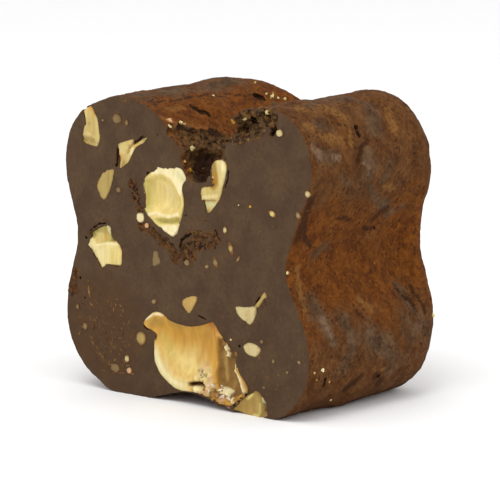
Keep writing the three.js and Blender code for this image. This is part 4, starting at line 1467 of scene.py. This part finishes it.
class Finish:
    """A material with its nodes at hand. Patterns are sized in millimetres."""

    def __init__(self, name, roughness, specular):
        self.material = bpy.data.materials.new(name)
        self.material.use_nodes = True
        self.tree = self.material.node_tree
        self.shader = self.tree.nodes["Principled BSDF"]
        self.shader.inputs["Roughness"].default_value = roughness
        self.shader.inputs["Specular IOR Level"].default_value = specular
        self.place = self.node("ShaderNodeTexCoord").outputs["Object"]
        self.in_millimetres = self.stretched((1, 1, 1), PATTERN_TURN)

    def node(self, kind):
        return self.tree.nodes.new(kind)

    def link(self, source, target):
        self.tree.links.new(source, target)

    def stretched(self, scale, turn):
        mapping = self.node("ShaderNodeMapping")
        mapping.inputs["Scale"].default_value = [MM_PER_M * share for share in scale]
        mapping.inputs["Rotation"].default_value = [math.radians(a) for a in turn]
        self.link(self.place, mapping.inputs["Vector"])
        return mapping.outputs["Vector"]

    def noise(self, size, detail=3.0, place=None, distortion=0.0):
        noise = self.node("ShaderNodeTexNoise")
        noise.inputs["Scale"].default_value = 1 / size
        noise.inputs["Detail"].default_value = detail
        noise.inputs["Distortion"].default_value = distortion
        self.link(place or self.in_millimetres, noise.inputs["Vector"])
        return noise.outputs["Fac"]

    def steps(self, value, low, high, most=1.0):
        """Rises from 0 to the most as the value goes from low to high."""
        spread = self.node("ShaderNodeMapRange")
        spread.interpolation_type = "SMOOTHSTEP"
        for name, number in (("From Min", low), ("From Max", high), ("To Max", most)):
            spread.inputs[name].default_value = number
        self.link(value, spread.inputs["Value"])
        return spread.outputs["Result"]

    def sum(self, first, second, times):
        """The first and so many times the second."""
        add = self.node("ShaderNodeMath")
        add.operation = "MULTIPLY_ADD"
        self.link(second, add.inputs[0])
        add.inputs[1].default_value = times
        self.link(first, add.inputs[2])
        return add.outputs["Value"]

    def attribute(self, name, output="Fac"):
        attribute = self.node("ShaderNodeAttribute")
        attribute.attribute_name = name
        return attribute.outputs[output]

    def mix(self, share, first, second, blend="MIX"):
        mix = self.node("ShaderNodeMix")
        mix.data_type = "RGBA"
        mix.blend_type = blend
        targets = (mix.inputs["Factor"], mix.inputs[6], mix.inputs[7])  # the last two take the colours
        for target, source in zip(targets, (share, first, second)):
            if isinstance(source, tuple):
                target.default_value = (*linear(*source), 1)
            elif isinstance(source, float):
                target.default_value = source
            else:
                self.link(source, target)
        return mix.outputs[2]

    def layer(self, colour, tint, where, low, high, most=1.0):
        """The tint over the colour, more of it as the value where goes from low to high."""
        return self.mix(self.steps(where, low, high, most), colour, tint)

    def bump(self, height, distance, after=None):
        """Relief of this depth in millimetres."""
        bump = self.node("ShaderNodeBump")
        bump.inputs["Distance"].default_value = distance / MM_PER_M
        self.link(height, bump.inputs["Height"])
        if after:
            self.link(after, bump.inputs["Normal"])
        return bump.outputs["Normal"]

    def finish(self, colour, normal):
        self.link(colour, self.shader.inputs["Base Color"])
        self.link(normal, self.shader.inputs["Normal"])
        return self.material


def crust_finish():
    """Cocoa on the rolled sides, thin on the lobes, rubbed patches partly painted sheen, and painted shade.
    """
    look = Finish("cocoa_crust", roughness=0.9, specular=0.1)
    powder = look.layer((88, 46, 12), (116, 66, 19), look.noise(0.8, 5), 0.32, 0.68)
    powder = look.layer(powder, (90, 54, 22), look.noise(2.4, 4), 0.35, 0.7, 0.35)
    thin = look.layer((74, 45, 20), (102, 67, 35), look.noise(0.9, 6), 0.3, 0.7)
    worn = look.sum(look.attribute("exposed"), look.noise(1.8, 6), 1.6)
    colour = look.layer(powder, thin, worn, 0.9, 1.9, 0.85)
    bright = look.sum(look.attribute("brightened"), look.noise(0.6, 5), 0.8)
    colour = look.layer(colour, (126, 86, 42), bright, 0.7, 1.45, 0.75)
    # Rubbed patches: grey-brown paste showing through, partly painted sheen.
    bare = look.layer((70, 51, 34), (98, 77, 56), look.noise(0.9, 6), 0.3, 0.7)
    edge = look.sum(look.attribute("rubbed_and_sheen"), look.noise(0.8, 6, distortion=0.4), 1.4)
    edge = look.sum(edge, look.noise(2.3, 3), 1.5)
    colour = look.layer(colour, bare, edge, 1.75, 2.55, 0.9)
    pale = look.sum(look.attribute("smeared"), look.noise(0.5, 5), 1.4)
    colour = look.layer(colour, (120, 94, 72), pale, 0.9, 1.6, 0.8)
    # Painted shade in the streaks.
    dark = look.sum(look.attribute("streak_shade"), look.noise(0.5, 5), 0.8)
    colour = look.layer(colour, (54, 30, 12), dark, 0.7, 1.25, 0.85)
    specks = look.sum(look.noise(0.24, 3), look.noise(1.3, 4), 0.4)
    colour = look.layer(colour, (52, 27, 10), specks, 0.75, 0.88, 0.65)
    grains = look.sum(look.noise(0.2, 3), look.noise(1.1, 4), 0.3)
    colour = look.layer(colour, (146, 96, 46), grains, 0.76, 0.88, 0.3)
    colour = look.layer(colour, (138, 88, 44), look.attribute("broken"), 0.2, 0.9, 0.5)
    shade = look.layer((220, 217, 214), (255, 255, 255), look.noise(0.3, 4), 0.32, 0.66)
    colour = look.mix(1.0, colour, shade, "MULTIPLY")
    normal = look.bump(look.noise(0.12, 3), 0.025)
    normal = look.bump(look.noise(0.4, 5), 0.06, normal)
    return look.finish(colour, normal)


def cut_finish():
    """The paste where the knife went through."""
    look = Finish("cut_paste", roughness=0.6, specular=0.2)
    colour = look.layer((68, 47, 27), (81, 59, 36), look.noise(1.6, 5), 0.3, 0.7)
    colour = look.layer(colour, (52, 34, 18), look.noise(0.25, 6), 0.4, 0.7, 0.35)
    colour = look.layer(colour, (104, 77, 48), look.noise(0.3, 4), 0.6, 0.74, 0.3)
    colour = look.layer(colour, (108, 66, 28), look.noise(0.5, 2), 0.7, 0.76, 0.4)
    warm = look.mix(look.noise(0.5, 4), (56, 35, 15), (84, 54, 22))
    colour = look.mix(look.attribute("warmed"), colour, warm)
    streaks = look.noise(0.35, 4, look.stretched((1, 1, 0.12), (0, 50, 0)))
    normal = look.bump(streaks, 0.02)
    normal = look.bump(look.noise(0.18, 4), 0.025, normal)
    return look.finish(colour, normal)


def torn_finish():
    """Paste where it broke: rough, with cocoa in it, and painted shade deep inside."""
    look = Finish("torn_paste", roughness=0.8, specular=0.15)
    colour = look.layer((54, 34, 14), (104, 73, 38), look.noise(0.4, 7), 0.35, 0.65)
    colour = look.layer(colour, (112, 70, 28), look.noise(0.25, 5), 0.55, 0.7, 0.6)
    colour = look.layer(colour, (34, 19, 8), look.noise(0.22, 4), 0.55, 0.68, 0.7)
    warm = look.layer((72, 38, 12), (122, 72, 26), look.noise(0.35, 6), 0.35, 0.65)
    colour = look.mix(look.attribute("warmed"), colour, warm)
    grazed = look.layer((48, 29, 13), (100, 66, 34), look.noise(0.3, 6), 0.32, 0.66)
    colour = look.mix(look.attribute("grazed"), colour, grazed)
    # Painted shade in the holes, at the bottom of the torn hollow and under its lip.
    colour = look.mix(look.attribute("painted_shade"), colour, (42, 21, 6))
    normal = look.bump(look.noise(0.14, 4), 0.06)
    return look.finish(colour, normal)


def nut_finish():
    """Waxy flesh in the colours painted on each piece, with a faint grain."""
    look = Finish("hazelnut_flesh", roughness=0.5, specular=0.25)
    grain = look.noise(0.35, 4, look.stretched((1, 1, 0.2), (8, 28, 0)))
    shade = look.layer((232, 223, 205), (249, 246, 237), grain, 0.3, 0.65)
    colour = look.mix(1.0, look.attribute("tint", "Color"), shade, "MULTIPLY")
    look.shader.inputs["Subsurface Weight"].default_value = 0.15
    look.shader.inputs["Subsurface Radius"].default_value = (1.0, 0.6, 0.3)
    look.shader.inputs["Subsurface Scale"].default_value = 0.0006
    return look.finish(colour, look.bump(look.noise(0.25, 4), 0.02))


def crumb_finish():
    """Each crumb in its own colour, a little uneven."""
    look = Finish("paste_crumb", roughness=0.85, specular=0.15)
    shade = look.mix(look.noise(0.1, 3), (190, 190, 190), (255, 255, 255))
    colour = look.mix(1.0, look.attribute("tint", "Color"), shade, "MULTIPLY")
    return look.finish(colour, look.bump(look.noise(0.08, 3), 0.03))


# ---- Making the half ---------------------------------------------------------------------------

# Painted shade at the bottom of the torn hollow, as x and z.
SHADED_CAVITY = [
    (2.2, 17.9), (1.4, 17.7), (0.9, 17.3), (0.75, 16.5), (0.9, 15.9), (1.3, 15.3), (2.5, 15.3),
    (2.5, 16.4), (2.6, 17.2),
]
SHADED_CAVITY_EDGE = (-0.35, 0.3)
# Strength of the painted shade at the bottom of the hollow.
CAVITY_SHADE = 0.95
INTO_HOLLOW = (0.84, 0.22)  # how far x and z on the cut shift for each millimetre one looks into it
UNDER_LIP = [(-1.7, 1.2, 19.0), (-1.3, 2.3, 18.65), (-1.0, 3.4, 18.4), (-0.6, 4.2, 18.3)]  # in shadow
LIP_SHADOW_EDGE = (0.1, 0.35)
# Strength of the painted shadow under the lip.
LIP_SHADOW = 0.85
# Cocoa on the wall of the hollow, and dragged over one lobe of the cut, as x and z.
WARM_WALL = [(-1.9, 19.5), (-1.1, 18.8), (-0.7, 18.0), (-0.2, 17.0), (0.3, 16.3)]
WARM_WALL_HALF_WIDTH = 0.35
WARM_WALL_EDGE = (-0.25, 0.2)
WARM_LOBE = (-7.5, 4.5)
WARM_LOBE_REACH = 5.5
WARM_LOBE_MIDDLE = 0.35  # share of the reach within which it is thickest
WARMTH = 0.8
# Strengths of the painted shade inside the crevices, the pits and the torn bands.
CREVICE_SHADE = 0.8  # how dark the holes are inside
PIT_SHADE = 0.6
BAND_SHADE = 0.6
BAND_SHADE_DEPTHS = (0.12, 0.3)  # depths between which the bands darken
FOREMOST = -0.36  # nothing stands further out of the cut than this


def torn_tools():
    """What is missing from the cut: the torn hollow, the crumbled edge, the torn bands and the pits."""
    pits = pit_tool()
    # Painted shade inside the pits.
    mark(pits, "painted_shade", PIT_SHADE)
    bowl = rough_solid("torn_bowl", [ball(*row) for row in TORN_BOWL], BOWL_VOXEL, BOWL_GRAIN)
    crumbled = rough_solid("crumbled", [ball(*row) for row in CRUMBLED], CRUMBLED_VOXEL, CRUMBLED_GRAIN)
    bands = band_tool()
    # Painted shade on the torn bands, stronger where they go deeper.
    mark(bands, "painted_shade", BAND_SHADE * smoothstep(points_of(bands)[:, 1], *BAND_SHADE_DEPTHS))
    mark(bands, "grazed", 1)
    return [bowl, crumbled, bands, pits]


def nut_pocket(name, nut):
    """What the paste leaves free for a nut piece."""
    depth = nut["depth"] - POCKET_SHALLOWER
    return outline_block(name + "_pocket", nut["outline"], POCKET_FRONT, depth, -POCKET_NARROWER)


def dress_body(body):
    """Marks on the finished body that depend on its cuts: painted shade and shadow in the torn hollow, and
    warm cocoa.
    """
    points = points_of(body)
    spots = points[:, [0, 2]]
    # Painted shade at the bottom of the hollow, placed as it is seen from the front, and painted shadow
    # under the lip.
    seen = spots + points[:, [1]] * np.array(INTO_HOLLOW)
    deep = CAVITY_SHADE * smoothstep(distance_into(seen, SHADED_CAVITY, 0), *SHADED_CAVITY_EDGE)
    shaded = LIP_SHADOW * (1 - smoothstep(path_distance(points, UNDER_LIP), *LIP_SHADOW_EDGE))
    mark(body, "painted_shade", np.max([marks_of(body, "painted_shade"), deep, shaded], axis=0))
    away = np.linalg.norm(spots - np.array(WARM_LOBE), axis=1)
    lobe = 1 - smoothstep(away, WARM_LOBE_MIDDLE * WARM_LOBE_REACH, WARM_LOBE_REACH)
    wall = smoothstep(distance_into(seen, WARM_WALL, WARM_WALL_HALF_WIDTH), *WARM_WALL_EDGE)
    mark(body, "warmed", WARMTH * np.maximum(lobe, wall))


def chocolate_body(finishes):
    """The log, cut and torn, with a pocket for each nut piece."""
    log = rolled_log("truffle_paste")
    give_finishes(log, finishes, CRUST)
    work_the_crust(log)
    crevices = crevice_tool(log)
    # Painted shade inside the crevices.
    mark(crevices, "painted_shade", CREVICE_SHADE)
    block = knife_block()
    give_finishes(block, finishes, CUT)
    cut(log, block, "INTERSECT")
    pockets = [nut_pocket(name, nut) for name, nut in NUTS.items()]
    for tool in [*torn_tools(), crevices, *pockets]:
        give_finishes(tool, finishes, TORN)
        cut(log, tool)
    dress_body(log)
    return log


def build():
    """Each piece with the CAD nodes that it replaces and its material slot."""
    body = chocolate_body([crust_finish(), cut_finish(), torn_finish()])
    inner_log = rolled_log("inner_log", set_in=SKIN_OVER_NUTS)
    nuts = {name: nut_piece(name, nut, inner_log) for name, nut in NUTS.items()}
    remove(inner_log)
    chips = nut_chips()
    shapes = crumb_shapes()
    crumbs = paste_crumbs(body, nuts.values(), shapes)
    bits = nut_crumbs(body, shapes)
    flesh = nut_finish()
    for piece in (*nuts.values(), chips, bits):
        give_finishes(piece, [flesh])
    give_finishes(crumbs, [crumb_finish()])
    return [
        (body, ["chocolate_body"], "chocolate"),
        *[(nut, [f"hazelnut_{name}"], "hazelnut") for name, nut in nuts.items()],
        (chips, [], "hazelnut"),
        (crumbs, [], "chocolate"),
        (bits, [], "hazelnut"),
    ]


def bring_into_frame(pieces):
    """From millimetres with the cut at y = 0 to the frame's metres."""
    low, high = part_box("chocolate_body")
    log = points_of(pieces[0][0])
    aside = (log[:, 0].min() + log[:, 0].max()) / 2 - MM_PER_M * (low.x + high.x) / 2
    shift = np.array([-aside, MM_PER_M * low.y, -FLAT_HEIGHT])
    for piece, replaced, slot in pieces:
        points = points_of(piece)
        points[:, 1] = np.maximum(points[:, 1], FOREMOST)
        points[:, 2] = np.maximum(points[:, 2], FLAT_HEIGHT)
        place_points(piece, (points + shift) / MM_PER_M)
        smooth = [not piece.name.endswith("crumbs")] * len(piece.data.polygons)
        piece.data.polygons.foreach_set("use_smooth", smooth)
        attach(piece, "root")
        if replaced:
            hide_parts(*replaced)
    return shift


# ---- Stage -------------------------------------------------------------------------------------


def towards(azimuth, elevation):
    """The direction from the half to a camera or light at these angles."""
    a, e = math.radians(azimuth), math.radians(elevation)
    return np.array([math.sin(a) * math.cos(e), -math.cos(a) * math.cos(e), math.sin(e)])


def aim(thing, name, angles, distance, target):
    """Puts a camera or light at this distance from the target, facing it."""
    thing.name = name
    back = towards(*angles)
    thing.location = target + distance * back
    thing.rotation_euler = Vector(back).to_track_quat("Z", "Y").to_euler()


def set_stage(shift):
    """Floor, light and camera."""
    bpy.ops.mesh.primitive_plane_add(size=FLOOR_SIZE)
    floor = newest("floor")
    paper = bpy.data.materials.new("pale_floor")
    paper.use_nodes = True
    shader = paper.node_tree.nodes["Principled BSDF"]
    shader.inputs["Base Color"].default_value = FLOOR_COLOUR
    shader.inputs["Roughness"].default_value = FLOOR_ROUGHNESS
    floor.data.materials.append(paper)

    world = bpy.data.worlds.new("studio")
    bpy.context.scene.world = world
    world.use_nodes = True
    background = world.node_tree.nodes["Background"]
    background.inputs["Color"].default_value = SKY
    background.inputs["Strength"].default_value = SKY_STRENGTH

    target = (np.array(CAMERA_TARGET) + shift) / MM_PER_M
    for name, (angles, distance, size, power) in LIGHTS.items():
        bpy.ops.object.light_add(type="AREA")
        light = bpy.context.active_object
        light.data.size = size
        light.data.energy = power
        aim(light, name, angles, distance, target)

    bpy.ops.object.camera_add()
    camera = bpy.context.active_object
    camera.data.lens = CAMERA_LENS
    camera.data.sensor_width = CAMERA_SENSOR
    camera.data.clip_start = NEAREST_SEEN
    aim(camera, "camera", CAMERA_ANGLES, CAMERA_DISTANCE / MM_PER_M, target)
    bpy.context.scene.camera = camera
    bpy.context.scene.view_settings.view_transform = "Standard"


pieces = build()
shift = bring_into_frame(pieces)
set_stage(shift)
